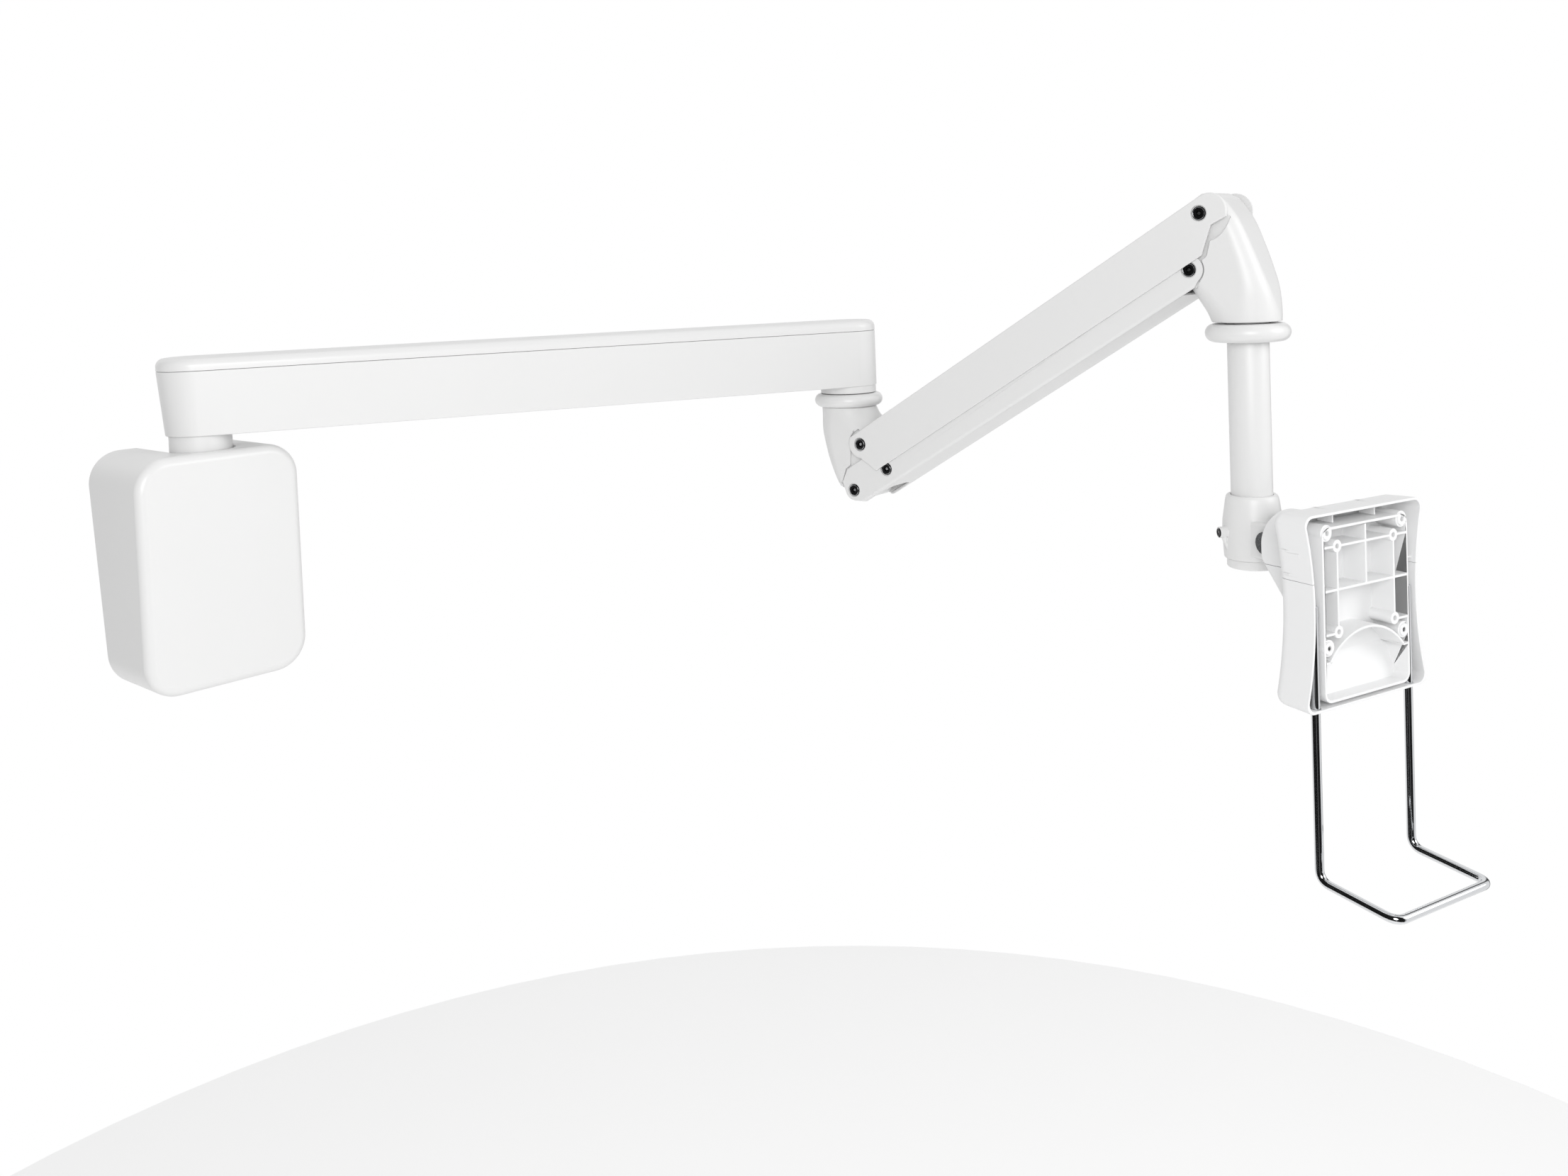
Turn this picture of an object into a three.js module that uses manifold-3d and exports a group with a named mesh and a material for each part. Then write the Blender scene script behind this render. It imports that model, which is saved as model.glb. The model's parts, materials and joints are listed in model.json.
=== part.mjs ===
// A wall-mounted display arm for medical rooms: a covered wall pivot, a level extension arm, a
// spring-balanced parallelogram arm, a drop tube with a clamped hub, and a tilting display head with a
// sliding rod handle.
// Millimetres, +Z up. The origin is the middle of the wall plate's back face; the room is on the -Y side.
import * as THREE from 'three';
import { mergeVertices } from 'three/addons/utils/BufferGeometryUtils.js';
import Module from 'manifold-3d';

const wasm = await Module();
wasm.setup();

// ---------- driving dimensions ----------
const GAP = 0.3;                    // between pieces that touch
const RUN = 0.8;                    // between pieces that move past each other

// stance: headings are turned from +X about +Z, the link angle is above the horizon
const EXTENSION_HEADING = -26.2;
const SPRING_ARM_HEADING = -85.9;
const HEAD_HEADING = -107.8;
const LINK_ANGLE = 30.9;
const LINK_DROP = 62;               // how far the link swings down from its stance
const LINK_RISE = 2;                // and up

// wall unit
const PIVOT_MARGIN = 40.1;          // first vertical axis to the cover's front
const COVER = {
  width: 161,
  height: 226.5,
  depth: 115.6,
  corner: 32,
  fillet: 9,
  wall: 3,
  slant: 31,                        // how far the foot of the cover stands off the wall
  neckRoom: 2.4,
};
const PIVOT_OFFSET = COVER.depth - PIVOT_MARGIN;
const PLATE = {
  width: COVER.width - 31,
  height: COVER.height - 36.5,
  thick: 5,
  corner: 12,
  bolt: 4.2,
  boltEdge: 13,
};
const NECK_RADIUS = 28.9;
const POST_RADIUS = 15;
const BUSH_WALL = 3;
const BUSH_LONG = 22;
const BUSH_SEAT = POST_RADIUS + GAP + BUSH_WALL + GAP;
const HOUSING = {
  half: BUSH_SEAT + 7.4,
  bottom: -50,
  top: COVER.height / 2 - 17.25,
  flange: 8,
  flangeHalf: 45,
  flangeHeight: 110,
  flangeDrop: 23,
};
const HOUSING_MIDDLE = (HOUSING.bottom + HOUSING.top) / 2 - HOUSING.flangeDrop;
const FLANGE_FRONT = -PLATE.thick - GAP - HOUSING.flange;
const BOLT = { shank: 3.2, head: 6, headLong: 5, x: 36, z: 42 };
const COVER_SCREW = { x: 36, y: -50, shank: 2, head: 4, lugHalf: 7, post: 7 };
const LUG_FOOT = -COVER.height / 2 + 29.25;
const LUG_HEIGHT = 14;

// extension arm
const EXTENSION_LENGTH = 695;
const BEAM_FOOT = COVER.height / 2 + 14.75;
const BEAM = { height: 63.5, wall: 4, floor: 5, halfWall: 37, halfWallFoot: 31.5, halfElbow: 32.9, bevel: 2 };
const BEAM_SEAM = BEAM_FOOT + BEAM.height;
const LID = { height: 12, round: 8, wall: 3.5 };
const LID_SCREW = { shank: 2, head: 4, boss: 5.5, inset: 190 };
const LID_SCREWS = [LID_SCREW.inset, EXTENSION_LENGTH - LID_SCREW.inset];
const LID_BOSS_FOOT = BEAM_FOOT + BEAM.floor + GAP;
const ELBOW_NECK = { radius: 32, long: 7.9 };
const POST_REACH = 39;              // the post's top above the beam's underside
const NECK_FOOT = HOUSING.top + 2.6;
const WASHER_TOP = NECK_FOOT - GAP;

// elbow, with heights from the beam's underside
const COLLAR_RADIUS = 39.2;
const ELBOW_COLLAR = { top: -ELBOW_NECK.long - RUN, height: 14.9, boss: 26.8 };
const SPINDLE_RADIUS = 14;
const ELBOW_BUSH_SEAT = SPINDLE_RADIUS + GAP + BUSH_WALL + GAP;
const ELBOW_SOCKET = 50;            // height of the bearing socket inside the beam
const SPINDLE = { bottom: -82, overSocket: 10 };

// parallelogram: the outer end's pivots are measured from the drop tube's axis, back towards the elbow
const LINK_LENGTH = 465.7;
const PIVOT_SIDE = 31.2;            // tube axis to the upper pivot
const PIVOT_SHIFT = 12.5;           // lower pivot, further back
const PIVOT_DROP = 53.1;            // and lower
const ELBOW_PIVOT_SIDE = 38.4;      // elbow axis to its upper pivot
const ELBOW_PIVOT_Z = -63.2;        // from the beam's underside
const HEAD_PIVOT_Z = 103.96;        // from the head yoke's foot
const NESTING = 0.5;                // between the two casings' side walls
const UPPER = { half: 35.8, wall: 2.6, top: 13.5, seam: -35.3, end: 15.5, headEnd: 17, headShift: 9.5 };
const LOWER = {
  half: UPPER.half - UPPER.wall - NESTING,
  wall: 2.4,
  top: 24.2,
  floor: -17.9,
  end: 11.5,
  headEnd: 14,
};
const TONGUE_HALF = LOWER.half - LOWER.wall - 0.9;
const SHOULDER_HALF = UPPER.half - 2.8;
const PIN_RADIUS = 5.8;
const SCREW_HEAD = PIN_RADIUS + 1.2;
const PIVOT_BUSH_SEAT = PIN_RADIUS + GAP + 2 + GAP;
const PIVOT_RING = PIVOT_BUSH_SEAT + 4.2;
const SPRING_PIN_ALONG = 52.3;      // lower elbow pivot to the spring's pin
const SPRING = {
  anchorAlong: 85,
  anchorDrop: 2,
  barrel: 12,
  bore: 10.2,
  length: 225,
  rod: 5,
  rodSpare: 83.3,                   // the rod's end to the barrel's eye
  pin: 5,
  eye: 10,
  eyeHalf: 12,
};

// drop tube, hub and tilt, with heights from the clamp screw
const YOKE_FOOT = 200;
const TUBE = { radius: 19.3, wall: 2.5, bottom: -24, top: YOKE_FOOT + 26 };
const TUBE_SEAT = TUBE.radius + 3;
const TUBE_NUT = { radius: TUBE_SEAT + 1.3, room: 0.7, bottom: 16, height: 6 };
const DROP_COLLAR = { bottom: YOKE_FOOT - 19, top: YOKE_FOOT - 1.6, seat: TUBE.radius + 10.7 };
const HUB = {
  top: 34.9,
  bottom: -25.9,
  rimRadius: TUBE.radius + 3.9,
  radius: TUBE.radius + 8.7,
  footRadius: TUBE.radius + 7.5,
};
const HUB_CAP = { bottom: -35, radius: TUBE.radius + 5.1 };
const CLAMP_TURN = 250;             // direction of the clamp screw, from the head's heading
const CLAMP = { z: 0, boss: 5.4, reach: HUB.radius + 7, screw: 3.6 };
const TILT = { x: 37.2, z: -4, knuckle: 17, lugHalf: 22, pin: 5, ear: 4 };

// display head, from the middle of the display plate's holes
const FACE_X = 125.2;               // tube axis to the display face
const FACE_Z = -28.7;
const HOLE_SQUARES = [75, 100];
const TRAY = {
  margin: 7,                        // outer holes to the tray's side
  top: 55,
  bottom: -98,
  depth: 26,
  wall: 2.4,
  rib: 2.2,
  boss: 5.6,
  hole: 2.2,
  archRise: 24,
};
const TRAY_HALF = HOLE_SQUARES[1] / 2 + TRAY.margin;
const ROD = {
  radius: 3.9,
  side: TRAY_HALF + 5.2,
  back: 6.4,                        // behind the display face
  top: -12,
  bottom: -252.7,
  reach: 76,
  drop: 6,
  bend: 11,
};
const SHROUD = {
  top: TRAY.top + 12.5,
  bottom: TRAY.bottom - 6,
  waist: TRAY_HALF + 12,
  flare: 9.5,
  reach: 75,
  waistZ: -15,
  depth: 40,
  wall: 2.2,
  round: 12,
};
const SPLIT = 8;                    // height of the shells' parting line
const NECK = { half: TILT.lugHalf + 14, rear: 41, crest: 54, spring: 26, wall: 3, foot: -55, slope: 1.35 };

// ---------- finishes ----------
const finish = (color, roughness, metalness = 0) => (
  new THREE.MeshStandardMaterial({ color, roughness, metalness })
);
const WHITE_PAINT = () => finish(0xf0f0ee, 0.38);
const WHITE_PLASTIC = () => finish(0xeeeeec, 0.45);
const LIGHT_PLASTIC = () => finish(0xe6e7e6, 0.5);
const BLACK_SCREW = () => finish(0x141416, 0.3, 0.6);
const BRIGHT_STEEL = () => finish(0xb9bcc0, 0.25, 1);
const CHROME = () => finish(0xd8dadd, 0.08, 1);
const CAST = () => finish(0x9da1a6, 0.45, 0.9);
const BEARING = () => finish(0x3a3d40, 0.5);
const BARREL_BLACK = () => finish(0x1c1d20, 0.35, 0.3);

// ---------- solids ----------
const rad = THREE.MathUtils.degToRad;

function solid(geometry) {
  const bare = geometry.clone();
  bare.deleteAttribute('normal');
  bare.deleteAttribute('uv');
  const merged = mergeVertices(bare, 1e-4);
  const vertProperties = new Float32Array(merged.attributes.position.array);
  const triVerts = new Uint32Array(merged.index.array);
  return new wasm.Manifold(new wasm.Mesh({ numProp: 3, vertProperties, triVerts }));
}

function union(...pieces) {
  return pieces.reduce((all, piece) => all.add(piece));
}

function cut(body, ...tools) {
  return tools.reduce((left, tool) => left.subtract(tool), body);
}

function box(x0, x1, y0, y1, z0, z1) {
  const geometry = new THREE.BoxGeometry(x1 - x0, y1 - y0, z1 - z0);
  return solid(geometry.translate((x0 + x1) / 2, (y0 + y1) / 2, (z0 + z1) / 2));
}

function rodZ(radius, z0, z1, x = 0, y = 0, sides = 20, topRadius = radius) {
  const geometry = new THREE.CylinderGeometry(topRadius, radius, z1 - z0, sides).rotateX(Math.PI / 2);
  return solid(geometry.translate(x, y, (z0 + z1) / 2));
}

function rodY(radius, y0, y1, x, z, sides = 14) {
  const geometry = new THREE.CylinderGeometry(radius, radius, y1 - y0, sides);
  return solid(geometry.translate(x, (y0 + y1) / 2, z));
}

function ringZ(inner, outer, z0, z1, x = 0, y = 0, sides = 20) {
  return cut(rodZ(outer, z0, z1, x, y, sides), rodZ(inner, z0 - 1, z1 + 1, x, y, sides));
}

function ringY(inner, outer, y0, y1, x, z, sides = 14) {
  return cut(rodY(outer, y0, y1, x, z, sides), rodY(inner, y0 - 1, y1 + 1, x, z, sides));
}

// an outline drawn in X and Z, made thick along Y
function slab(points, y0, y1) {
  const shape = new THREE.Shape(points.map(([x, z]) => new THREE.Vector2(x, z)));
  const geometry = new THREE.ExtrudeGeometry(shape, { depth: y1 - y0, bevelEnabled: false });
  return solid(geometry.rotateX(Math.PI / 2).translate(0, y1, 0));
}

// an outline drawn in X and Y, made thick along Z
function plank(points, z0, z1) {
  const shape = new THREE.Shape(points.map(([x, y]) => new THREE.Vector2(x, y)));
  const geometry = new THREE.ExtrudeGeometry(shape, { depth: z1 - z0, bevelEnabled: false });
  return solid(geometry.translate(0, 0, z0));
}

// a closed skin through rings of points that match one to one
function loft(rings) {
  const count = rings[0].length;
  const at = (ring, i) => ring * count + (i % count);
  const positions = rings.flat().flatMap((p) => [p.x, p.y, p.z]);
  const index = [];
  for (let ring = 0; ring < rings.length - 1; ring++) {
    for (let i = 0; i < count; i++) {
      index.push(at(ring, i), at(ring, i + 1), at(ring + 1, i + 1));
      index.push(at(ring, i), at(ring + 1, i + 1), at(ring + 1, i));
    }
  }
  for (const ring of [0, rings.length - 1]) {
    const middle = positions.length / 3;
    const centre = rings[ring].reduce((sum, p) => sum.add(p), new THREE.Vector3()).divideScalar(count);
    positions.push(centre.x, centre.y, centre.z);
    for (let i = 0; i < count; i++) {
      const edge = ring === 0 ? [at(ring, i + 1), at(ring, i)] : [at(ring, i), at(ring, i + 1)];
      index.push(middle, ...edge);
    }
  }
  const geometry = new THREE.BufferGeometry();
  geometry.setAttribute('position', new THREE.Float32BufferAttribute(positions, 3));
  geometry.setIndex(index);
  const made = solid(geometry);
  return made.volume() >= 0 ? made : solid(flipped(geometry));
}

function flipped(geometry) {
  const index = Array.from(geometry.index.array);
  for (let i = 0; i < index.length; i += 3) {
    [index[i], index[i + 1]] = [index[i + 1], index[i]];
  }
  geometry.setIndex(index);
  return geometry;
}

// a rectangle with round corners, as [a, b] pairs counted anticlockwise
function roundedRect(a0, a1, b0, b1, radius, steps = 6) {
  const r = Math.min(radius, (a1 - a0) / 2 - 0.01, (b1 - b0) / 2 - 0.01);
  const corners = [[a1 - r, b1 - r, 0], [a0 + r, b1 - r, 90], [a0 + r, b0 + r, 180], [a1 - r, b0 + r, 270]];
  return corners.flatMap(([a, b, start]) => {
    const turn = (i) => rad(start + (90 * i) / steps);
    const point = (i) => [a + r * Math.cos(turn(i)), b + r * Math.sin(turn(i))];
    return Array.from({ length: steps + 1 }, (_, i) => point(i));
  });
}

function arc(x, z, radius, from, to, steps) {
  return Array.from({ length: steps + 1 }, (_, i) => {
    const turn = rad(from + ((to - from) * i) / steps);
    return [x + radius * Math.cos(turn), z + radius * Math.sin(turn)];
  });
}

// turns an X-Z outline about a point, anticlockwise, and moves the outline's origin there
function placed(points, x, z, degrees) {
  const c = Math.cos(rad(degrees));
  const s = Math.sin(rad(degrees));
  return points.map(([a, b]) => [x + a * c - b * s, z + a * s + b * c]);
}

function lathe(profile, sides = 28) {
  const geometry = new THREE.LatheGeometry(profile.map(([r, z]) => new THREE.Vector2(r, z)), sides);
  return solid(geometry.rotateX(Math.PI / 2));
}

function mesh(name, shape, material) {
  const { numProp, vertProperties, triVerts } = shape.getMesh();
  const positions = new Float32Array((vertProperties.length / numProp) * 3);
  for (let i = 0; i < positions.length / 3; i++) {
    positions.set(vertProperties.subarray(i * numProp, i * numProp + 3), i * 3);
  }
  const geometry = new THREE.BufferGeometry();
  geometry.setAttribute('position', new THREE.BufferAttribute(positions, 3));
  geometry.setIndex(new THREE.BufferAttribute(new Uint32Array(triVerts), 1));
  geometry.computeVertexNormals();
  const made = new THREE.Mesh(geometry, material);
  made.name = name;
  return made;
}

function frameAt(parent, x, y, heading, z = 0) {
  const group = new THREE.Group();
  group.position.set(x, y, z);
  group.rotation.z = rad(heading);
  parent.add(group);
  return group;
}

// ---------- wall unit ----------
function wallPlate() {
  const { width, height, thick, corner, bolt, boltEdge } = PLATE;
  const outline = roundedRect(-width / 2, width / 2, -height / 2, height / 2, corner, 4);
  const x = width / 2 - boltEdge;
  const z = height / 2 - boltEdge;
  const holes = [-1, 1].flatMap((sx) => [-1, 1].map((sz) => rodY(bolt, -thick - 1, 1, sx * x, sz * z, 20)));
  return cut(slab(outline, -thick, 0), ...holes);
}

const HOUSING_BOLTS = [-1, 1].flatMap((sx) => [-1, 1].map((sz) => [sx * BOLT.x, sz * BOLT.z]));

function pivotHousing() {
  const { half, bottom, top, flangeHalf, flangeHeight } = HOUSING;
  const back = -PLATE.thick - GAP;
  const plan = [...arc(0, -PIVOT_OFFSET, half, 180, 360, 12), [half, back], [-half, back]];
  const low = HOUSING_MIDDLE - flangeHeight / 2;
  const flange = roundedRect(-flangeHalf, flangeHalf, low, low + flangeHeight, 8, 3);
  const { x: lugX, y: lugY, shank, lugHalf } = COVER_SCREW;
  const lugs = [-1, 1].map((side) => (
    box(side * lugX - lugHalf, side * lugX + lugHalf, lugY - 8, back, LUG_FOOT, LUG_FOOT + LUG_HEIGHT)
  ));
  const tie = box(-lugX, lugX, -30, back, LUG_FOOT, low + 2);
  const bores = [
    rodZ(POST_RADIUS + RUN, bottom - 1, top + 1, 0, -PIVOT_OFFSET),
    rodZ(BUSH_SEAT, top - BUSH_LONG, top + 1, 0, -PIVOT_OFFSET),
    rodZ(BUSH_SEAT, bottom - 1, bottom + BUSH_LONG, 0, -PIVOT_OFFSET),
  ];
  const bolts = HOUSING_BOLTS.map(([x, z]) => (
    rodY(BOLT.shank + GAP, FLANGE_FRONT - 1, 0, x, HOUSING_MIDDLE + z, 14)
  ));
  const screws = [-1, 1].map((side) => (
    rodZ(shank + GAP, LUG_FOOT - 6, LUG_FOOT + LUG_HEIGHT - 0.5, side * lugX, lugY, 12)
  ));
  const body = union(plank(plan, bottom, top), slab(flange, FLANGE_FRONT, back), tie, ...lugs);
  return cut(body, ...bores, ...bolts, ...screws);
}

function housingBolt(x, z) {
  const head = rodY(BOLT.head, FLANGE_FRONT - GAP - BOLT.headLong, FLANGE_FRONT - GAP, x, z, 6);
  return union(head, rodY(BOLT.shank, FLANGE_FRONT - GAP - 1, -PLATE.thick - GAP, x, z, 14));
}

function baseBush(z0) {
  return ringZ(POST_RADIUS + GAP, BUSH_SEAT - GAP, z0, z0 + BUSH_LONG - GAP, 0, -PIVOT_OFFSET);
}

// the cover's outline at a distance from the wall, drawn in by an inset
function coverRing(y, inset, shrink) {
  const w = COVER.width / 2 - inset - shrink;
  const h = COVER.height / 2 - inset - shrink;
  const corner = Math.max(COVER.corner - inset - shrink, 2);
  return roundedRect(-w, w, -h, h, corner, 4).map(([x, z]) => new THREE.Vector3(x, y, z));
}

function coverForm(shrink) {
  const front = -COVER.depth + shrink;
  const round = COVER.fillet - shrink;
  const rings = [coverRing(shrink > 0 ? 10 : 0, 0, shrink), coverRing(front + round, 0, shrink)];
  for (let step = 1; step <= 3; step++) {
    const turn = rad(30 * step);
    rings.push(coverRing(front + round * (1 - Math.sin(turn)), round * (1 - Math.cos(turn)), shrink));
  }
  return loft(rings);
}

function wallCover() {
  const { height, slant, wall } = COVER;
  const rim = loft([-1, 1].map((side) => [
    new THREE.Vector3(side * COVER.width, GAP, height / 2 + 1),
    new THREE.Vector3(side * COVER.width, 60, height / 2 + 1),
    new THREE.Vector3(side * COVER.width, 60, -height / 2 - 1),
    new THREE.Vector3(side * COVER.width, -slant, -height / 2 - 1),
  ]));
  const clear = NECK_RADIUS + COVER.neckRoom;
  const notch = [...arc(0, -PIVOT_OFFSET, clear, 180, 360, 12), [clear, 5], [-clear, 5]];
  const { x, y, shank, head, post } = COVER_SCREW;
  const screws = [-1, 1].flatMap((side) => [
    rodZ(shank + GAP, -height / 2 - 1, LUG_FOOT + 4, side * x, y, 12),
    rodZ(head + 0.5, -height / 2 - 1, -height / 2 + 2, side * x, y, 16),
  ]);
  const posts = [-1, 1].map((side) => rodZ(post, -height / 2 + 1, LUG_FOOT - GAP, side * x, y, 16));
  const open = union(cut(coverForm(0), coverForm(wall)), ...posts);
  return cut(open, rim, plank(notch, height / 2 - 20, height / 2 + 5), ...screws);
}

function coverScrew(side) {
  const { y, shank, head } = COVER_SCREW;
  const foot = -COVER.height / 2 + 0.4;
  const x = side * COVER_SCREW.x;
  const top = cut(rodZ(head, foot, foot + 1.3, x, y, 16), rodZ(1.5, foot - 1, foot + 0.8, x, y, 6));
  return union(top, rodZ(shank, foot + 1, LUG_FOOT + LUG_HEIGHT - 1.5, x, y, 12));
}

// ---------- extension arm ----------
// the beam's plan: two half rounds and the straight sides between them
function beamPlan(wallHalf, elbowHalf, z) {
  const points = [...arc(0, 0, wallHalf, 90, 270, 9), ...arc(EXTENSION_LENGTH, 0, elbowHalf, -90, 90, 9)];
  return points.map(([x, y]) => new THREE.Vector3(x, y, z));
}

function extensionBeam() {
  const { wall, floor, halfWall, halfWallFoot, halfElbow, bevel } = BEAM;
  const skin = loft([
    beamPlan(halfWallFoot - bevel, halfElbow - bevel, BEAM_FOOT),
    beamPlan(halfWallFoot, halfElbow, BEAM_FOOT + bevel),
    beamPlan(halfWall, halfElbow, BEAM_SEAM - GAP),
  ]);
  const hollow = loft([
    beamPlan(halfWallFoot - wall, halfElbow - wall, BEAM_FOOT + floor),
    beamPlan(halfWall - wall, halfElbow - wall, BEAM_SEAM + 1),
  ]);
  const socketTop = BEAM_FOOT + ELBOW_SOCKET;
  const neckFoot = BEAM_FOOT - ELBOW_NECK.long;
  const body = union(
    cut(skin, hollow),
    rodZ(POST_RADIUS + 9, BEAM_FOOT + 1, BEAM_FOOT + POST_REACH + 1, 0, 0),
    rodZ(NECK_RADIUS, NECK_FOOT, BEAM_FOOT + 1, 0, 0, 28),
    rodZ(ELBOW_BUSH_SEAT + 7.4, BEAM_FOOT + 1, socketTop, EXTENSION_LENGTH, 0),
    rodZ(ELBOW_NECK.radius, neckFoot, BEAM_FOOT + 1, EXTENSION_LENGTH, 0, 28),
  );
  const screws = LID_SCREWS.flatMap((x) => [
    rodZ(LID_SCREW.shank + GAP, BEAM_FOOT - 1, BEAM_FOOT + floor + 1, x, 0, 12),
    rodZ(LID_SCREW.head + 0.5, BEAM_FOOT - 1, BEAM_FOOT + 2.6, x, 0, 16),
  ]);
  return cut(
    body,
    rodZ(POST_RADIUS + GAP, NECK_FOOT - 1, BEAM_FOOT + POST_REACH + 3, 0, 0),
    rodZ(ELBOW_BUSH_SEAT, neckFoot - 1, socketTop + 1, EXTENSION_LENGTH, 0),
    ...screws,
  );
}

function extensionLid() {
  const { wall, halfWall, halfElbow } = BEAM;
  const top = BEAM_SEAM + LID.height;
  const rings = [beamPlan(halfWall, halfElbow, BEAM_SEAM), beamPlan(halfWall, halfElbow, top - LID.round)];
  for (let step = 1; step <= 3; step++) {
    const turn = rad(30 * step);
    const inset = LID.round * (1 - Math.cos(turn));
    rings.push(beamPlan(halfWall - inset, halfElbow - inset, top - LID.round * (1 - Math.sin(turn))));
  }
  const inside = wall + LID.wall;
  const hollow = loft([
    beamPlan(halfWall - wall, halfElbow - wall, BEAM_SEAM - 1),
    beamPlan(halfWall - wall, halfElbow - wall, top - LID.round),
    beamPlan(halfWall - inside, halfElbow - inside, top - LID.wall),
  ]);
  const { shank, boss } = LID_SCREW;
  const bosses = LID_SCREWS.map((x) => rodZ(boss, LID_BOSS_FOOT, top - LID.wall + 1, x, 0, 16));
  const threads = LID_SCREWS.map((x) => rodZ(shank + GAP, LID_BOSS_FOOT - 1, LID_BOSS_FOOT + 22, x, 0, 12));
  return cut(union(cut(loft(rings), hollow), ...bosses), ...threads);
}

function lidScrew(x) {
  const foot = BEAM_FOOT + 0.4;
  const socket = rodZ(1.6, foot - 1, foot + 1.1, x, 0, 6);
  const head = cut(rodZ(LID_SCREW.head, foot, foot + 1.9, x, 0, 16), socket);
  return union(head, rodZ(LID_SCREW.shank, foot + 1.5, LID_BOSS_FOOT + 20, x, 0, 12));
}

function pivotPost() {
  return ringZ(POST_RADIUS - 5, POST_RADIUS, HOUSING.bottom - 11, BEAM_FOOT + POST_REACH, 0, 0);
}

function postNut() {
  const top = HOUSING.bottom - 0.6;
  return cut(rodZ(POST_RADIUS + 8, top - 9, top, 0, 0, 6), rodZ(POST_RADIUS + GAP, top - 10, top + 1, 0, 0));
}

function thrustWasher() {
  return ringZ(POST_RADIUS + GAP, POST_RADIUS + 10, HOUSING.top + GAP, WASHER_TOP);
}

function elbowBush(z0) {
  return ringZ(SPINDLE_RADIUS + GAP, ELBOW_BUSH_SEAT - GAP, z0, z0 + BUSH_LONG, EXTENSION_LENGTH, 0);
}

// ---------- collars ----------
function collar(inner, bottom, top, lift = 0, seat = 0) {
  const half = (top - bottom) / 2;
  const middle = (top + bottom) / 2;
  const round = arc(COLLAR_RADIUS - half, middle, half, -90, 90, 5);
  const step = lift > 0 ? [[seat, top], [seat, top + lift]] : [];
  return lathe([[inner, bottom], ...round, ...step, [inner, top + lift], [inner, bottom]]);
}

// ---------- parallelogram links ----------
// link outlines start at the elbow pivot, with X along the link towards the head and Z across it
function upperOutline(grow = 0) {
  const { top, seam, end, headEnd, headShift } = UPPER;
  const far = LINK_LENGTH;
  return [
    [3 - grow / 2, seam - grow],
    ...arc(0, 0, end + grow, 235, 120, 7),
    [-4, top + grow],
    ...arc(far + headShift, -3.5, headEnd + grow, 90, -52, 7),
    [far + 3.5 + grow, -15.5 - grow / 2],
    [far - 19.5 + grow / 2, seam - grow],
  ];
}

function lowerOutline(grow = 0) {
  const { top, floor, end, headEnd } = LOWER;
  const far = LINK_LENGTH;
  return [
    [6 - grow / 2, floor - grow],
    ...arc(0, 0, end + grow, 240, 165, 4),
    [-9 - grow, top - 9],
    [5, top + grow],
    [far - 4, top + grow],
    ...arc(far, 0, headEnd + grow, 58, -80, 7),
    [far - 6, floor - grow],
  ];
}

const SWEEPS = 33;
const SWEEP_STEP = (LINK_DROP + LINK_RISE + 2) / (SWEEPS - 1);
const LINK_TURNS = Array.from({ length: SWEEPS }, (_, i) => LINK_ANGLE + LINK_RISE + 1 - i * SWEEP_STEP);
const SWEPT_RADIUS = 95;

// how far an outline reaches from its origin in one direction
function reachAt(outline, turn) {
  const [c, s] = [Math.cos(turn), Math.sin(turn)];
  return outline.reduce((far, [ax, az], i) => {
    const [bx, bz] = outline[(i + 1) % outline.length];
    const [sideA, sideB] = [ax * s - az * c, bx * s - bz * c];
    if (sideA * sideB > 0 || sideA === sideB) return far;
    const share = sideA / (sideA - sideB);
    return Math.max(far, (ax + (bx - ax) * share) * c + (az + (bz - az) * share) * s);
  }, 0);
}

// the room a link's end needs beside a yoke: its outline, a little larger, at every angle of the link
function sweep(outline, atHead, pivot) {
  const origin = atHead ? LINK_LENGTH : 0;
  const near = outline(1.2).map(([a, b]) => [a - origin, b]);
  const points = Array.from({ length: 72 }, (_, i) => {
    const turn = rad(5 * i);
    const far = Math.max(...LINK_TURNS.map((link) => reachAt(near, turn - rad(link))));
    const long = Math.min(far, SWEPT_RADIUS);
    return [pivot.x + long * Math.cos(turn), pivot.z + long * Math.sin(turn)];
  });
  return slab(points, -60, 60);
}

const LINK_CLIMB = LINK_LENGTH * Math.sin(rad(LINK_ANGLE));
const headPivot = { x: -PIVOT_SIDE, z: HEAD_PIVOT_Z };
const headLower = { x: headPivot.x - PIVOT_SHIFT, z: headPivot.z - PIVOT_DROP };
const elbowPivot = { x: ELBOW_PIVOT_SIDE, z: ELBOW_PIVOT_Z };
const elbowLower = { x: elbowPivot.x - PIVOT_SHIFT, z: elbowPivot.z - PIVOT_DROP };
const SPRING_REACH = ELBOW_PIVOT_SIDE + LINK_LENGTH * Math.cos(rad(LINK_ANGLE)) + PIVOT_SIDE;

// recess for a pivot screw's head in a side wall, and the hole behind it
function screwSeat(x, z, half, deep) {
  return union(
    rodY(SCREW_HEAD + 0.6, -half - 1, -half + deep, x, z),
    rodY(SCREW_HEAD + 0.6, half - deep, half + 1, x, z),
    rodY(PIN_RADIUS + GAP, -half - 1, half + 1, x, z),
  );
}

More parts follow.
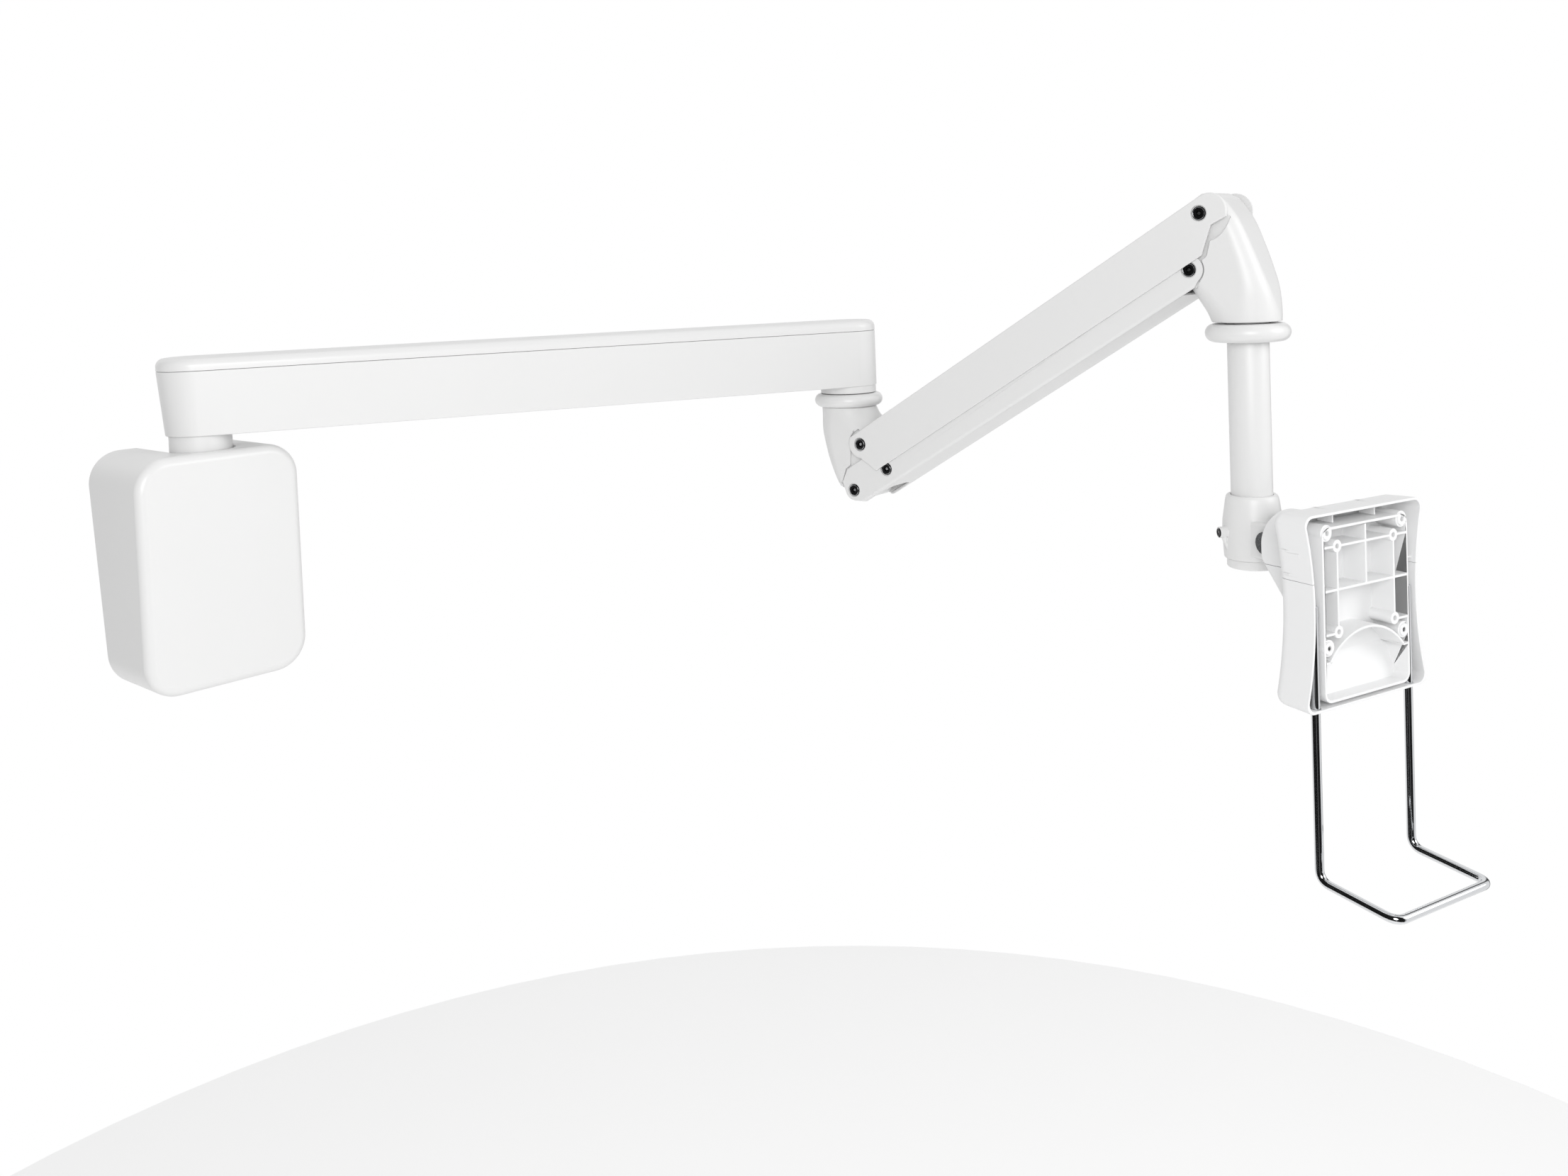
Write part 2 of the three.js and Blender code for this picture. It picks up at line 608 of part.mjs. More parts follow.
function upperCasing() {
  const { half, wall, top, seam } = UPPER;
  const outer = slab(upperOutline(), -half, half);
  const inner = half - wall;
  const far = LINK_LENGTH + 60;
  const cavity = box(-40, far, -inner, inner, seam - 1, top - wall);
  const mouths = [box(-40, 27, -inner, inner, 0, 40), box(LINK_LENGTH - 24, far, -inner, inner, 0, 40)];
  const seats = [screwSeat(0, 0, half, 1.8), screwSeat(LINK_LENGTH, 0, half, 1.8)];
  const anchorX = LINK_LENGTH - SPRING.anchorAlong;
  const anchor = rodY(SPRING.pin + GAP, -inner - 1, inner + 1, anchorX, -SPRING.anchorDrop, 20);
  const blocks = [-1, 1].map((side) => {
    const near = SPRING.eyeHalf + 2;
    const faces = side > 0 ? [near, inner + 0.5] : [-inner - 0.5, -near];
    return box(anchorX - 11, anchorX + 11, ...faces, -9, top - 1);
  });
  return cut(union(cut(outer, cavity, ...mouths), ...blocks), ...seats, anchor);
}

function lowerCasing() {
  const { half, wall, top, floor } = LOWER;
  const inner = half - wall;
  const outer = slab(lowerOutline(), -half, half);
  const far = LINK_LENGTH + 60;
  const cavity = box(-40, far, -inner, inner, floor + wall, top + 1);
  const mouths = [
    box(-40, 38, -inner, inner, floor - 5, 0),
    box(LINK_LENGTH - 18, far, -inner, inner, floor - 5, 0),
  ];
  const seats = [0, SPRING_PIN_ALONG, LINK_LENGTH].map((x) => screwSeat(x, 0, half, 1.6));
  return cut(outer, cavity, ...mouths, ...seats);
}

// a shouldered pin with one socket head, and the socket screw that closes its far side
function pivotPin(x, z, half, radius = PIN_RADIUS) {
  const head = -half + 0.5;
  const body = union(rodY(SCREW_HEAD, head, head + 1, x, z), rodY(radius, head + 0.5, half - 3.4, x, z));
  return cut(body, rodY(3, head - 1, head + 4, x, z, 6));
}

function pivotScrew(x, z, half) {
  const face = half - 0.5;
  const body = union(rodY(SCREW_HEAD, face - 1, face, x, z), rodY(PIN_RADIUS, half - 3, face - 0.5, x, z));
  return cut(body, rodY(3, face - 1.6, face + 1, x, z, 6));
}

// a round bar that runs back from a spring's eye
function barX(radius, from, to, sides) {
  const geometry = new THREE.CylinderGeometry(radius, radius, to - from, sides).rotateZ(Math.PI / 2);
  return solid(geometry.translate((from + to) / 2, 0, 0));
}

function springBarrel() {
  const { barrel, bore, length, eye, eyeHalf, pin } = SPRING;
  const body = union(rodY(eye, -eyeHalf, eyeHalf, 0, 0), barX(barrel, -length, -6, 24));
  return cut(body, rodY(pin + GAP, -eyeHalf - 1, eyeHalf + 1, 0, 0), barX(bore, -length - 1, -22, 24));
}

const springAnchor = new THREE.Vector2(LINK_LENGTH - SPRING.anchorAlong, -SPRING.anchorDrop);
const lowerOffset = new THREE.Vector2(-PIVOT_SHIFT, -PIVOT_DROP);
const linkOffset = lowerOffset.rotateAround(new THREE.Vector2(), -rad(LINK_ANGLE));
const springPin = new THREE.Vector2(linkOffset.x + SPRING_PIN_ALONG, linkOffset.y);
const springSpan = springAnchor.clone().sub(springPin);
const SPRING_LEAN = THREE.MathUtils.radToDeg(springSpan.angle());

// the rod reaches from its own eye on the lower link into the barrel's wide bore
function springRod() {
  const { rod, rodSpare, eye, pin } = SPRING;
  const long = springSpan.length() - rodSpare;
  return cut(union(rodY(eye, -8, 8, 0, 0), barX(rod, 4, long, 18)), rodY(pin + GAP, -9, 9, 0, 0));
}

// ---------- yokes ----------
// level sections of a yoke, each [z, back, front, half width, corner]
function yokeForm(sections) {
  return loft(sections.map(([z, back, front, half, corner]) => (
    roundedRect(back, front, -half, half, corner, 4).map(([x, y]) => new THREE.Vector3(x, y, z))
  )));
}

function yoke(form, pivots, sweeps) {
  const tongue = form.intersect(box(-200, 200, -TONGUE_HALF, TONGUE_HALF, -200, 500));
  const rings = pivots.map(({ x, z }) => rodY(PIVOT_RING, -TONGUE_HALF, TONGUE_HALF, x, z));
  const bores = pivots.map(({ x, z }) => rodY(PIVOT_BUSH_SEAT, -TONGUE_HALF - 1, TONGUE_HALF + 1, x, z));
  return cut(union(cut(form, ...sweeps), tongue, ...rings), ...bores);
}

function elbowYoke() {
  const shoulder = SHOULDER_HALF;
  const foot = ELBOW_COLLAR.top - ELBOW_COLLAR.height;
  const top = foot - GAP;
  const form = yokeForm([
    [-116, 7, 34, shoulder - 4, 8],
    [-112, 2, 38, shoulder - 1, 9],
    [-86, -13, 48, shoulder, 16],
    [-65, -21, 52, shoulder, 20],
    [-48, -26.5, 47, shoulder - 0.5, 24],
    [-34, -29.5, 36, shoulder - 1.5, 29],
    [top, -31, 31.5, 31, 31],
  ]);
  const sweeps = [
    sweep(upperOutline, false, elbowPivot),
    sweep(lowerOutline, false, elbowLower),
  ];
  const body = yoke(form, [elbowPivot, elbowLower], sweeps);
  const boss = rodZ(ELBOW_COLLAR.boss, top - 1, ELBOW_COLLAR.top, 0, 0);
  const bore = rodZ(SPINDLE_RADIUS + GAP, SPINDLE.bottom - GAP, ELBOW_COLLAR.top + 1, 0, 0);
  return cut(union(body, boss), bore);
}

function elbowCollar() {
  const { top, height, boss } = ELBOW_COLLAR;
  return collar(boss + GAP, top - height, top);
}

function elbowSpindle() {
  return rodZ(SPINDLE_RADIUS, SPINDLE.bottom, ELBOW_SOCKET + SPINDLE.overSocket, 0, 0);
}

function spindleNut() {
  const foot = ELBOW_SOCKET + RUN;
  return cut(
    rodZ(SPINDLE_RADIUS + 7.5, foot, foot + 7.2, 0, 0, 6),
    rodZ(SPINDLE_RADIUS + GAP, foot - 1, foot + 9, 0, 0),
  );
}

// X here points away from the elbow, so the pivots are on the minus side, and the foot is at height 0
function headYoke() {
  const shoulder = SHOULDER_HALF;
  const form = yokeForm([
    [0, -32.5, 31.5, 32, 32],
    [10, -36, 31, shoulder - 0.5, 30],
    [32, -47, 26.5, shoulder, 22],
    [50, -54, 20.5, shoulder, 18],
    [68, -54, 14, shoulder, 16],
    [97, -48, 2, shoulder, 14],
    [112, -43, -8, shoulder - 1, 13],
    [119, -39, -14, shoulder - 3.6, 10],
    [122.5, -34, -21, shoulder - 9, 6],
  ]);
  const sweeps = [
    sweep(upperOutline, true, headPivot),
    sweep(lowerOutline, true, headLower),
  ];
  const body = yoke(form, [headPivot, headLower], sweeps);
  const nutFoot = TUBE_NUT.bottom;
  return cut(
    body,
    rodZ(TUBE_SEAT, -1, nutFoot + GAP, 0, 0),
    rodZ(TUBE_NUT.radius + TUBE_NUT.room, nutFoot, TUBE.top - YOKE_FOOT + 2, 0, 0),
  );
}

function tubeBush() {
  return ringZ(TUBE.radius + GAP, TUBE_SEAT - GAP, GAP, TUBE_NUT.bottom, 0, 0);
}

function pivotBush({ x, z }) {
  return ringY(PIN_RADIUS + GAP, PIVOT_BUSH_SEAT - GAP, -TONGUE_HALF + 0.2, TONGUE_HALF - 0.2, x, z);
}

// ---------- drop tube and hub ----------
function dropTube() {
  return ringZ(TUBE.radius - TUBE.wall, TUBE.radius, TUBE.bottom, TUBE.top, 0, 0, 28);
}

function tubeNut() {
  const foot = YOKE_FOOT + TUBE_NUT.bottom;
  return ringZ(TUBE.radius + GAP, TUBE_NUT.radius, foot + RUN, foot + TUBE_NUT.height);
}

function dropCollar() {
  const { bottom, top, seat } = DROP_COLLAR;
  return collar(TUBE.radius + GAP, bottom, top, RUN, seat);
}

function radial(radius, from, to, sides) {
  const geometry = new THREE.CylinderGeometry(radius, radius, to - from, sides).rotateZ(Math.PI / 2);
  return solid(geometry.translate((from + to) / 2, 0, CLAMP.z).rotateZ(rad(CLAMP_TURN)));
}

function hubBody() {
  const { top, bottom, rimRadius, radius, footRadius } = HUB;
  const cup = lathe([
    [0, bottom],
    [footRadius - 0.6, bottom],
    [footRadius, bottom + 1],
    [radius, -2],
    [radius - 0.3, 8],
    [rimRadius + 1.2, top - 3],
    [rimRadius, top],
    [0, top],
  ], 28);
  const { x, z, knuckle, lugHalf } = TILT;
  const side = [[0, z - knuckle], ...arc(x, z, knuckle, -90, 90, 14), [0, z + knuckle]];
  const lug = slab(side, -lugHalf, lugHalf);
  const boss = radial(CLAMP.boss, radius - 6, CLAMP.reach, 24);
  const gusset = new THREE.CylinderGeometry(1.6, CLAMP.boss - 0.6, 16, 20).rotateX(-Math.PI / 2);
  const rib = solid(gusset.translate(radius - 0.5, 0, CLAMP.z - 9).rotateZ(rad(CLAMP_TURN)));
  return cut(
    union(cup, lug, boss, rib),
    rodZ(TUBE.radius + GAP, bottom - 1, top + 1, 0, 0, 28),
    rodY(TILT.pin + GAP, -lugHalf - 1, lugHalf + 1, x, z, 16),
    radial(CLAMP.screw + GAP, TUBE.radius - 1.3, CLAMP.reach + 2, 24),
  );
}

function clampScrew() {
  const socket = radial(2.2, CLAMP.reach - 3, CLAMP.reach + 2, 6);
  return cut(radial(CLAMP.screw, TUBE.radius + GAP, CLAMP.reach + 0.6, 24), socket);
}

function hubCap() {
  const { radius, bottom } = HUB_CAP;
  const top = HUB.bottom - GAP;
  return lathe([[0, bottom], [radius - 1.4, bottom], [radius, bottom + 1.4], [radius, top], [0, top]]);
}

// ---------- display head ----------
function shroudHalf(z) {
  return SHROUD.waist + SHROUD.flare * ((z - SHROUD.waistZ) / SHROUD.reach) ** 2;
}

// the waisted outline seen from the front, drawn in by an inset
function shroudRing(x, inset, shrink) {
  const top = SHROUD.top - inset - shrink;
  const bottom = SHROUD.bottom + inset + shrink;
  const r = 9;
  const side = [];
  for (let step = 0; step <= 8; step++) {
    const z = THREE.MathUtils.lerp(bottom + r, top - r, step / 8);
    side.push([shroudHalf(z) - inset - shrink, z]);
  }
  const corner = (z, from) => arc(shroudHalf(z) - inset - shrink - r, z, r, from, from + 90, 3);
  const right = [...corner(bottom + r, -90), ...side.slice(1, -1), ...corner(top - r, 0)];
  const left = right.map(([y, z]) => [-y, z]).reverse();
  return [...right, ...left].map(([y, z]) => new THREE.Vector3(x, y, z + FACE_Z));
}

function shroudForm(shrink) {
  const back = FACE_X - SHROUD.depth + shrink;
  const round = SHROUD.round - shrink;
  const rings = [shroudRing(FACE_X + (shrink > 0 ? 5 : 0), 0, shrink), shroudRing(back + round, 1.2, shrink)];
  for (let step = 1; step <= 3; step++) {
    const turn = rad(30 * step);
    rings.push(shroudRing(back + round * (1 - Math.sin(turn)), 1.2 + round * (1 - Math.cos(turn)), shrink));
  }
  return loft(rings);
}

// the neck between the shroud's back and the hub: an arch above and a sloping keel below
function neckForm(shrink, rear, front) {
  const half = NECK.half - shrink;
  const spring = NECK.spring + FACE_Z;
  const rise = NECK.crest - NECK.spring - shrink;
  const arch = Array.from({ length: 13 }, (_, i) => {
    const turn = Math.PI * (i / 12);
    return [half * Math.cos(turn), spring + rise * Math.sin(turn)];
  });
  const keel = (x) => Math.max(FACE_Z + 2 + (rear - x + 3) * NECK.slope, FACE_Z + NECK.foot) + shrink;
  const ring = (x) => {
    const low = keel(x);
    const soft = Math.min(10, half / 3);
    const base = [[-half, low + soft], [-half + soft, low], [half - soft, low], [half, low + soft]];
    return [...arch, ...base].map(([y, z]) => new THREE.Vector3(x, y, z));
  };
  return loft([rear, rear + 14, rear + 28, front].map(ring));
}

function headShell(upper) {
  const { depth, wall } = SHROUD;
  const back = FACE_X - depth;
  const skin = union(shroudForm(0), neckForm(0, NECK.rear, back + 8));
  const hollow = union(shroudForm(wall), neckForm(NECK.wall, NECK.rear - 3, back + 8));
  const z = FACE_Z + SPLIT;
  const heights = upper ? [z + GAP / 2, 200] : [-300, z - GAP / 2];
  const side = box(-20, 300, -200, 200, ...heights);
  const rodX = FACE_X - ROD.back;
  const rodWays = [-1, 1].map((s) => rodZ(ROD.radius + RUN, -300, FACE_Z, rodX, s * ROD.side, 16));
  const ribs = [-1, 1].flatMap((s) => {
    const inner = TRAY_HALF + GAP;
    const edge = inner + 16;
    const y = s > 0 ? [inner, edge] : [-edge, -inner];
    return [box(FACE_X - depth + 2, FACE_X - 12, ...y, FACE_Z + 33, FACE_Z + 35.2)];
  });
  const held = union(...ribs).intersect(shroudForm(0.5));
  return cut(union(cut(skin, hollow), held).intersect(side), ...rodWays);
}

function mountTray() {
  const { top, bottom, depth, wall, rib, boss, hole, archRise } = TRAY;
  const half = TRAY_HALF;
  const back = FACE_X - depth;
  const z = (rel) => FACE_Z + rel;
  const ring = (x, inset) => (
    roundedRect(-half + inset, half - inset, bottom + inset, top - inset, 9 - inset, 4)
      .map(([y, h]) => new THREE.Vector3(x, y, z(h)))
  );
  const hollow = loft([ring(back + wall, wall), ring(FACE_X + 1, wall)]);
  const frame = cut(loft([ring(back, 0), ring(FACE_X, 0)]), hollow);
  const level = (h, y0 = -half + 1, y1 = half - 1) => (
    box(back + 1, FACE_X, y0, y1, z(h) - rib / 2, z(h) + rib / 2)
  );
  const upright = (y, h0, h1) => box(back + 1, FACE_X, y - rib / 2, y + rib / 2, z(h0), z(h1));
  const [inner, outer] = HOLE_SQUARES.map((size) => size / 2);
  const foot = inner + 1;
  const archHalf = half - 7;
  const archRadius = (archHalf ** 2 + archRise ** 2) / (2 * archRise);
  const archZ = z(-foot) - archRadius;
  const archSpan = THREE.MathUtils.radToDeg(Math.asin(archHalf / archRadius));
  const bow = [
    ...arc(0, archZ, archRadius, 90 - archSpan, 90 + archSpan, 10),
    ...arc(0, archZ, archRadius - rib, 90 + archSpan, 90 - archSpan, 10),
  ];
  const bowShape = new THREE.Shape(bow.map(([a, b]) => new THREE.Vector2(a, b)));
  const archForm = new THREE.ExtrudeGeometry(bowShape, { depth: depth - 1, bevelEnabled: false });
  const arch = solid(archForm.rotateX(Math.PI / 2).rotateZ(Math.PI / 2).translate(back + 1, 0, 0));
  const bar = (radius, x0, x1, y, h, sides) => {
    const geometry = new THREE.CylinderGeometry(radius, radius, x1 - x0, sides).rotateZ(Math.PI / 2);
    return solid(geometry.translate((x0 + x1) / 2, y, z(h)));
  };
  const spots = [inner, outer].flatMap((h) => [[-h, -h], [-h, h], [h, -h], [h, h]]);
  const posts = spots.map(([y, h]) => bar(boss, back + 1, FACE_X, y, h, 10));
  const bores = spots.map(([y, h]) => bar(hole, FACE_X - 14, FACE_X + 1, y, h, 12));
  const slots = [-31.5, -9.8].map((y) => box(back - 1, back + wall + 1, y - 2, y + 2, z(-31), z(-19)));
  const body = union(
    frame,
    level(-0.5),
    level(inner),
    level(-foot, -half + 1, -inner),
    level(-foot, inner, half - 1),
    upright(-inner, -inner, inner),
    upright(inner, -inner, inner),
    upright(0, -0.5, top - 1),
    upright(-inner, -foot, -inner),
    arch,
    ...posts,
  );
  return cut(body, ...bores, ...slots);
}

// steel bracket from the tilt pin to the tray's back: two ears and a plate with a bent foot
function tiltBracket() {
  const { x, z, pin, lugHalf, ear: thick } = TILT;
  const plateBack = FACE_X - TRAY.depth - GAP - thick;
  const ears = [-1, 1].map((side) => {
    const inner = lugHalf + RUN;
    const y = side > 0 ? [inner, inner + thick] : [-inner - thick, -inner];
    const outline = [...arc(x, z, 11, 90, 270, 10), [plateBack + 1, z - 26], [plateBack + 1, z + 11]];
    return slab(outline, ...y);
  });
  const plate = box(plateBack, plateBack + thick, -46, 46, FACE_Z - 60, FACE_Z + 46);
  return cut(union(plate, ...ears), rodY(pin + GAP, -60, 60, x, z, 16));
}

function tiltPin() {
  const { x, z, pin, lugHalf, ear } = TILT;
  const edge = lugHalf + RUN + ear + GAP;
  return union(rodY(pin, -edge - 1, edge + 4, x, z, 16), rodY(7.4, -edge - 3.2, -edge, x, z, 16));
}

function tiltNut() {
  const { x, z, pin, lugHalf, ear } = TILT;
  const edge = lugHalf + RUN + ear + GAP;
  return cut(rodY(8, edge, edge + 3.6, x, z, 6), rodY(pin + GAP, edge - 1, edge + 6, x, z, 16));
}

// one bent rod: two legs, and a loop that reaches forward and dips a little
class HandlePath extends THREE.CurvePath {
  constructor(points, bend) {
    super();
    let from = points[0];
    for (let i = 1; i < points.length - 1; i++) {
      const before = points[i].clone().lerp(points[i - 1], bend / points[i].distanceTo(points[i - 1]));
      const after = points[i].clone().lerp(points[i + 1], bend / points[i].distanceTo(points[i + 1]));
      this.add(new THREE.LineCurve3(from, before));
      this.add(new THREE.QuadraticBezierCurve3(before, points[i], after));
      from = after;
    }
    this.add(new THREE.LineCurve3(from, points[points.length - 1]));
  }
}

// a round bar along a path, with its end faces closed
function bentBar(path, radius, sides) {
  const stations = path.curves.flatMap((curve, i) => {
    const straight = curve instanceof THREE.LineCurve3;
    const last = i === path.curves.length - 1;
    const steps = straight ? [0] : [0, 0.25, 0.5, 0.75];
    const stops = last ? [...steps, 1] : steps;
    return stops.map((t) => ({ at: curve.getPoint(t), along: curve.getTangent(t) }));
  });
  let across = new THREE.Vector3(1, 0, 0);
  return loft(stations.map(({ at, along }) => {
    across = across.clone().addScaledVector(along, -across.dot(along)).normalize();
    const up = along.clone().cross(across);
    return Array.from({ length: sides }, (_, i) => {
      const turn = (2 * Math.PI * i) / sides;
      const point = at.clone().addScaledVector(across, radius * Math.cos(turn));
      return point.addScaledVector(up, radius * Math.sin(turn));
    });
  }));
}

function handleLoop() {
  const { radius, side, back, top, bottom, reach, drop, bend } = ROD;
  const x = FACE_X - back;
  const low = FACE_Z + bottom;
  const corner = (y, forward) => new THREE.Vector3(x + forward, y, low - (forward > 0 ? drop : 0));
  const points = [
    new THREE.Vector3(x, -side, FACE_Z + top), corner(-side, 0), corner(-side, reach),
    corner(side, reach), corner(side, 0), new THREE.Vector3(x, side, FACE_Z + top),
  ];
  return bentBar(new HandlePath(points, bend), radius, 10);
}

// ---------- assembly ----------
const arm = new THREE.Group();

const wall = frameAt(arm, 0, 0, 0);
wall.add(mesh('wall_plate', wallPlate(), CAST()));
wall.add(mesh('pivot_housing', pivotHousing(), CAST()));
HOUSING_BOLTS.forEach(([x, z], i) => {
  wall.add(mesh(`housing_bolt_${i + 1}`, housingBolt(x, HOUSING_MIDDLE + z), BRIGHT_STEEL()));
});
wall.add(mesh('base_bush_lower', baseBush(HOUSING.bottom), BEARING()));
wall.add(mesh('base_bush_upper', baseBush(HOUSING.top - BUSH_LONG + GAP), BEARING()));
wall.add(mesh('wall_cover', wallCover(), WHITE_PLASTIC()));
wall.add(mesh('cover_screw_left', coverScrew(-1), BLACK_SCREW()));
wall.add(mesh('cover_screw_right', coverScrew(1), BLACK_SCREW()));

const extension = frameAt(arm, 0, -PIVOT_OFFSET, EXTENSION_HEADING);
extension.add(mesh('extension_beam', extensionBeam(), WHITE_PAINT()));
extension.add(mesh('extension_lid', extensionLid(), WHITE_PLASTIC()));
LID_SCREWS.forEach((x, i) => extension.add(mesh(`lid_screw_${i + 1}`, lidScrew(x), BLACK_SCREW())));
extension.add(mesh('pivot_post', pivotPost(), BRIGHT_STEEL()));
extension.add(mesh('post_nut', postNut(), BRIGHT_STEEL()));
extension.add(mesh('base_thrust_washer', thrustWasher(), BEARING()));
extension.add(mesh('elbow_bush_lower', elbowBush(BEAM_FOOT - ELBOW_NECK.long + GAP), BEARING()));
extension.add(mesh('elbow_bush_upper', elbowBush(BEAM_FOOT + ELBOW_SOCKET - BUSH_LONG), BEARING()));

const turnE = rad(EXTENSION_HEADING);
const elbowX = EXTENSION_LENGTH * Math.cos(turnE);
const elbowY = -PIVOT_OFFSET + EXTENSION_LENGTH * Math.sin(turnE);
const springArm = frameAt(arm, elbowX, elbowY, SPRING_ARM_HEADING, BEAM_FOOT);
springArm.add(mesh('elbow_yoke', elbowYoke(), WHITE_PAINT()));
springArm.add(mesh('elbow_collar', elbowCollar(), WHITE_PLASTIC()));
springArm.add(mesh('elbow_spindle', elbowSpindle(), BRIGHT_STEEL()));
springArm.add(mesh('spindle_nut', spindleNut(), BRIGHT_STEEL()));
springArm.add(mesh('elbow_pivot_bush', pivotBush(elbowPivot), BEARING()));
springArm.add(mesh('elbow_lower_bush', pivotBush(elbowLower), BEARING()));

function linkFrame({ x, z }) {
  const group = new THREE.Group();
  group.position.set(x, 0, z);
  group.rotation.y = -rad(LINK_ANGLE);
  springArm.add(group);
  return group;
}

const upperLink = linkFrame(elbowPivot);
upperLink.add(mesh('upper_casing', upperCasing(), WHITE_PAINT()));
upperLink.add(mesh('elbow_pivot_pin', pivotPin(0, 0, UPPER.half), BLACK_SCREW()));
upperLink.add(mesh('elbow_pivot_screw', pivotScrew(0, 0, UPPER.half), BLACK_SCREW()));
upperLink.add(mesh('head_pivot_pin', pivotPin(LINK_LENGTH, 0, UPPER.half), BLACK_SCREW()));
upperLink.add(mesh('head_pivot_screw', pivotScrew(LINK_LENGTH, 0, UPPER.half), BLACK_SCREW()));
const anchorHalf = UPPER.half - UPPER.wall;
const anchorPin = rodY(SPRING.pin, -anchorHalf, anchorHalf, springAnchor.x, springAnchor.y, 14);
upperLink.add(mesh('spring_anchor_pin', anchorPin, BRIGHT_STEEL()));

const lowerLink = linkFrame(elbowLower);
lowerLink.add(mesh('lower_casing', lowerCasing(), WHITE_PAINT()));
const lowerPivots = { elbow_lower: 0, spring: SPRING_PIN_ALONG, head_lower: LINK_LENGTH };
for (const [name, x] of Object.entries(lowerPivots)) {
  const radius = name === 'spring' ? SPRING.pin : PIN_RADIUS;
  lowerLink.add(mesh(`${name}_pin`, pivotPin(x, 0, LOWER.half, radius), BLACK_SCREW()));
  lowerLink.add(mesh(`${name}_screw`, pivotScrew(x, 0, LOWER.half), BLACK_SCREW()));
}

function springFrame(parent, x, z) {
  const group = new THREE.Group();
  group.position.set(x, 0, z);
  group.rotation.y = -rad(SPRING_LEAN);
  parent.add(group);
  return group;
}

const barrelFrame = springFrame(upperLink, springAnchor.x, springAnchor.y);
barrelFrame.add(mesh('gas_spring_barrel', springBarrel(), BARREL_BLACK()));
const rodFrame = springFrame(lowerLink, SPRING_PIN_ALONG, 0);
rodFrame.add(mesh('gas_spring_rod', springRod(), CHROME()));

const turnS = rad(SPRING_ARM_HEADING);
const dropX = elbowX + SPRING_REACH * Math.cos(turnS);
const dropY = elbowY + SPRING_REACH * Math.sin(turnS);
const yokeZ = BEAM_FOOT + ELBOW_PIVOT_Z + LINK_CLIMB - HEAD_PIVOT_Z;
const headYokeFrame = frameAt(arm, dropX, dropY, SPRING_ARM_HEADING, yokeZ);
headYokeFrame.add(mesh('head_yoke', headYoke(), WHITE_PAINT()));
headYokeFrame.add(mesh('head_pivot_bush', pivotBush(headPivot), BEARING()));
headYokeFrame.add(mesh('head_lower_bush', pivotBush(headLower), BEARING()));
headYokeFrame.add(mesh('tube_bush', tubeBush(), BEARING()));

const head = frameAt(arm, dropX, dropY, HEAD_HEADING, yokeZ - YOKE_FOOT);
head.add(mesh('drop_tube', dropTube(), WHITE_PAINT()));
head.add(mesh('drop_collar', dropCollar(), WHITE_PLASTIC()));
head.add(mesh('tube_nut', tubeNut(), BRIGHT_STEEL()));
head.add(mesh('hub_body', hubBody(), WHITE_PAINT()));
head.add(mesh('hub_cap', hubCap(), WHITE_PLASTIC()));
head.add(mesh('clamp_screw', clampScrew(), BLACK_SCREW()));
head.add(mesh('tilt_bracket', tiltBracket(), BRIGHT_STEEL()));
head.add(mesh('tilt_pin', tiltPin(), BRIGHT_STEEL()));
head.add(mesh('tilt_nut', tiltNut(), BRIGHT_STEEL()));
head.add(mesh('rear_shell_upper', headShell(true), LIGHT_PLASTIC()));
head.add(mesh('rear_shell_lower', headShell(false), LIGHT_PLASTIC()));
head.add(mesh('mount_tray', mountTray(), LIGHT_PLASTIC()));
head.add(mesh('handle_loop', handleLoop(), CHROME()));

export default arm;
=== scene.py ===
"""Fine surfaces and finishes for a wall-mounted medical display arm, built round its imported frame."""

import json
import math

import bmesh
import bpy
from mathutils import Matrix, Vector, kdtree


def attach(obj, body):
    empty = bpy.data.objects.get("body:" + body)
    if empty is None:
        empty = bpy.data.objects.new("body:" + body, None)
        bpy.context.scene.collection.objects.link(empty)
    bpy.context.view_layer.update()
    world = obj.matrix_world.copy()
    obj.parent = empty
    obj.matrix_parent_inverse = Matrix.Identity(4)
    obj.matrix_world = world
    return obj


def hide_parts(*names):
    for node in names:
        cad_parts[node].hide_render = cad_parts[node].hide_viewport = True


bl_info = {
    "name": "Display Arm Surfaces",
    "version": (1, 0, 0),
    "blender": (4, 5, 0),
    "location": "View3D > Sidebar > Display Arm",
    "description": "Makes the covers, links, yokes, hub, head and handle of a wall-mounted display arm",
    "category": "Add Mesh",
}

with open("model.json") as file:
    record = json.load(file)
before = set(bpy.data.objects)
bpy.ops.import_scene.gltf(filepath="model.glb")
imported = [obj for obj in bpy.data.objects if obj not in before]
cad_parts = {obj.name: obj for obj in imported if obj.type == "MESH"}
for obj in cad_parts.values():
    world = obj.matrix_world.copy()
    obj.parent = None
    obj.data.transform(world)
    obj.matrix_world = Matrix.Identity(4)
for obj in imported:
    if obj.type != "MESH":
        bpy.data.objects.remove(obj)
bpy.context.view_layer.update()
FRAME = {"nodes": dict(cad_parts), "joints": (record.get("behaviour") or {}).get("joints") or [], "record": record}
JOINTS = {joint["name"]: joint for joint in FRAME["joints"]}
MM = 0.001  # sizes are in millimetres, and a finished mesh is in metres


# ---------- where things are ----------
def pivot(name):
    return Vector(JOINTS[name]["pos_m"])


def level_frame(origin, toward):
    """A frame on a vertical axis, +X turned to a heading."""
    along = Vector((toward.x, toward.y, 0)).normalized()
    across = Vector((-along.y, along.x, 0))
    turn = Matrix((along, across, Vector((0, 0, 1)))).transposed().to_4x4()
    return Matrix.Translation((origin.x, origin.y, 0)) @ turn


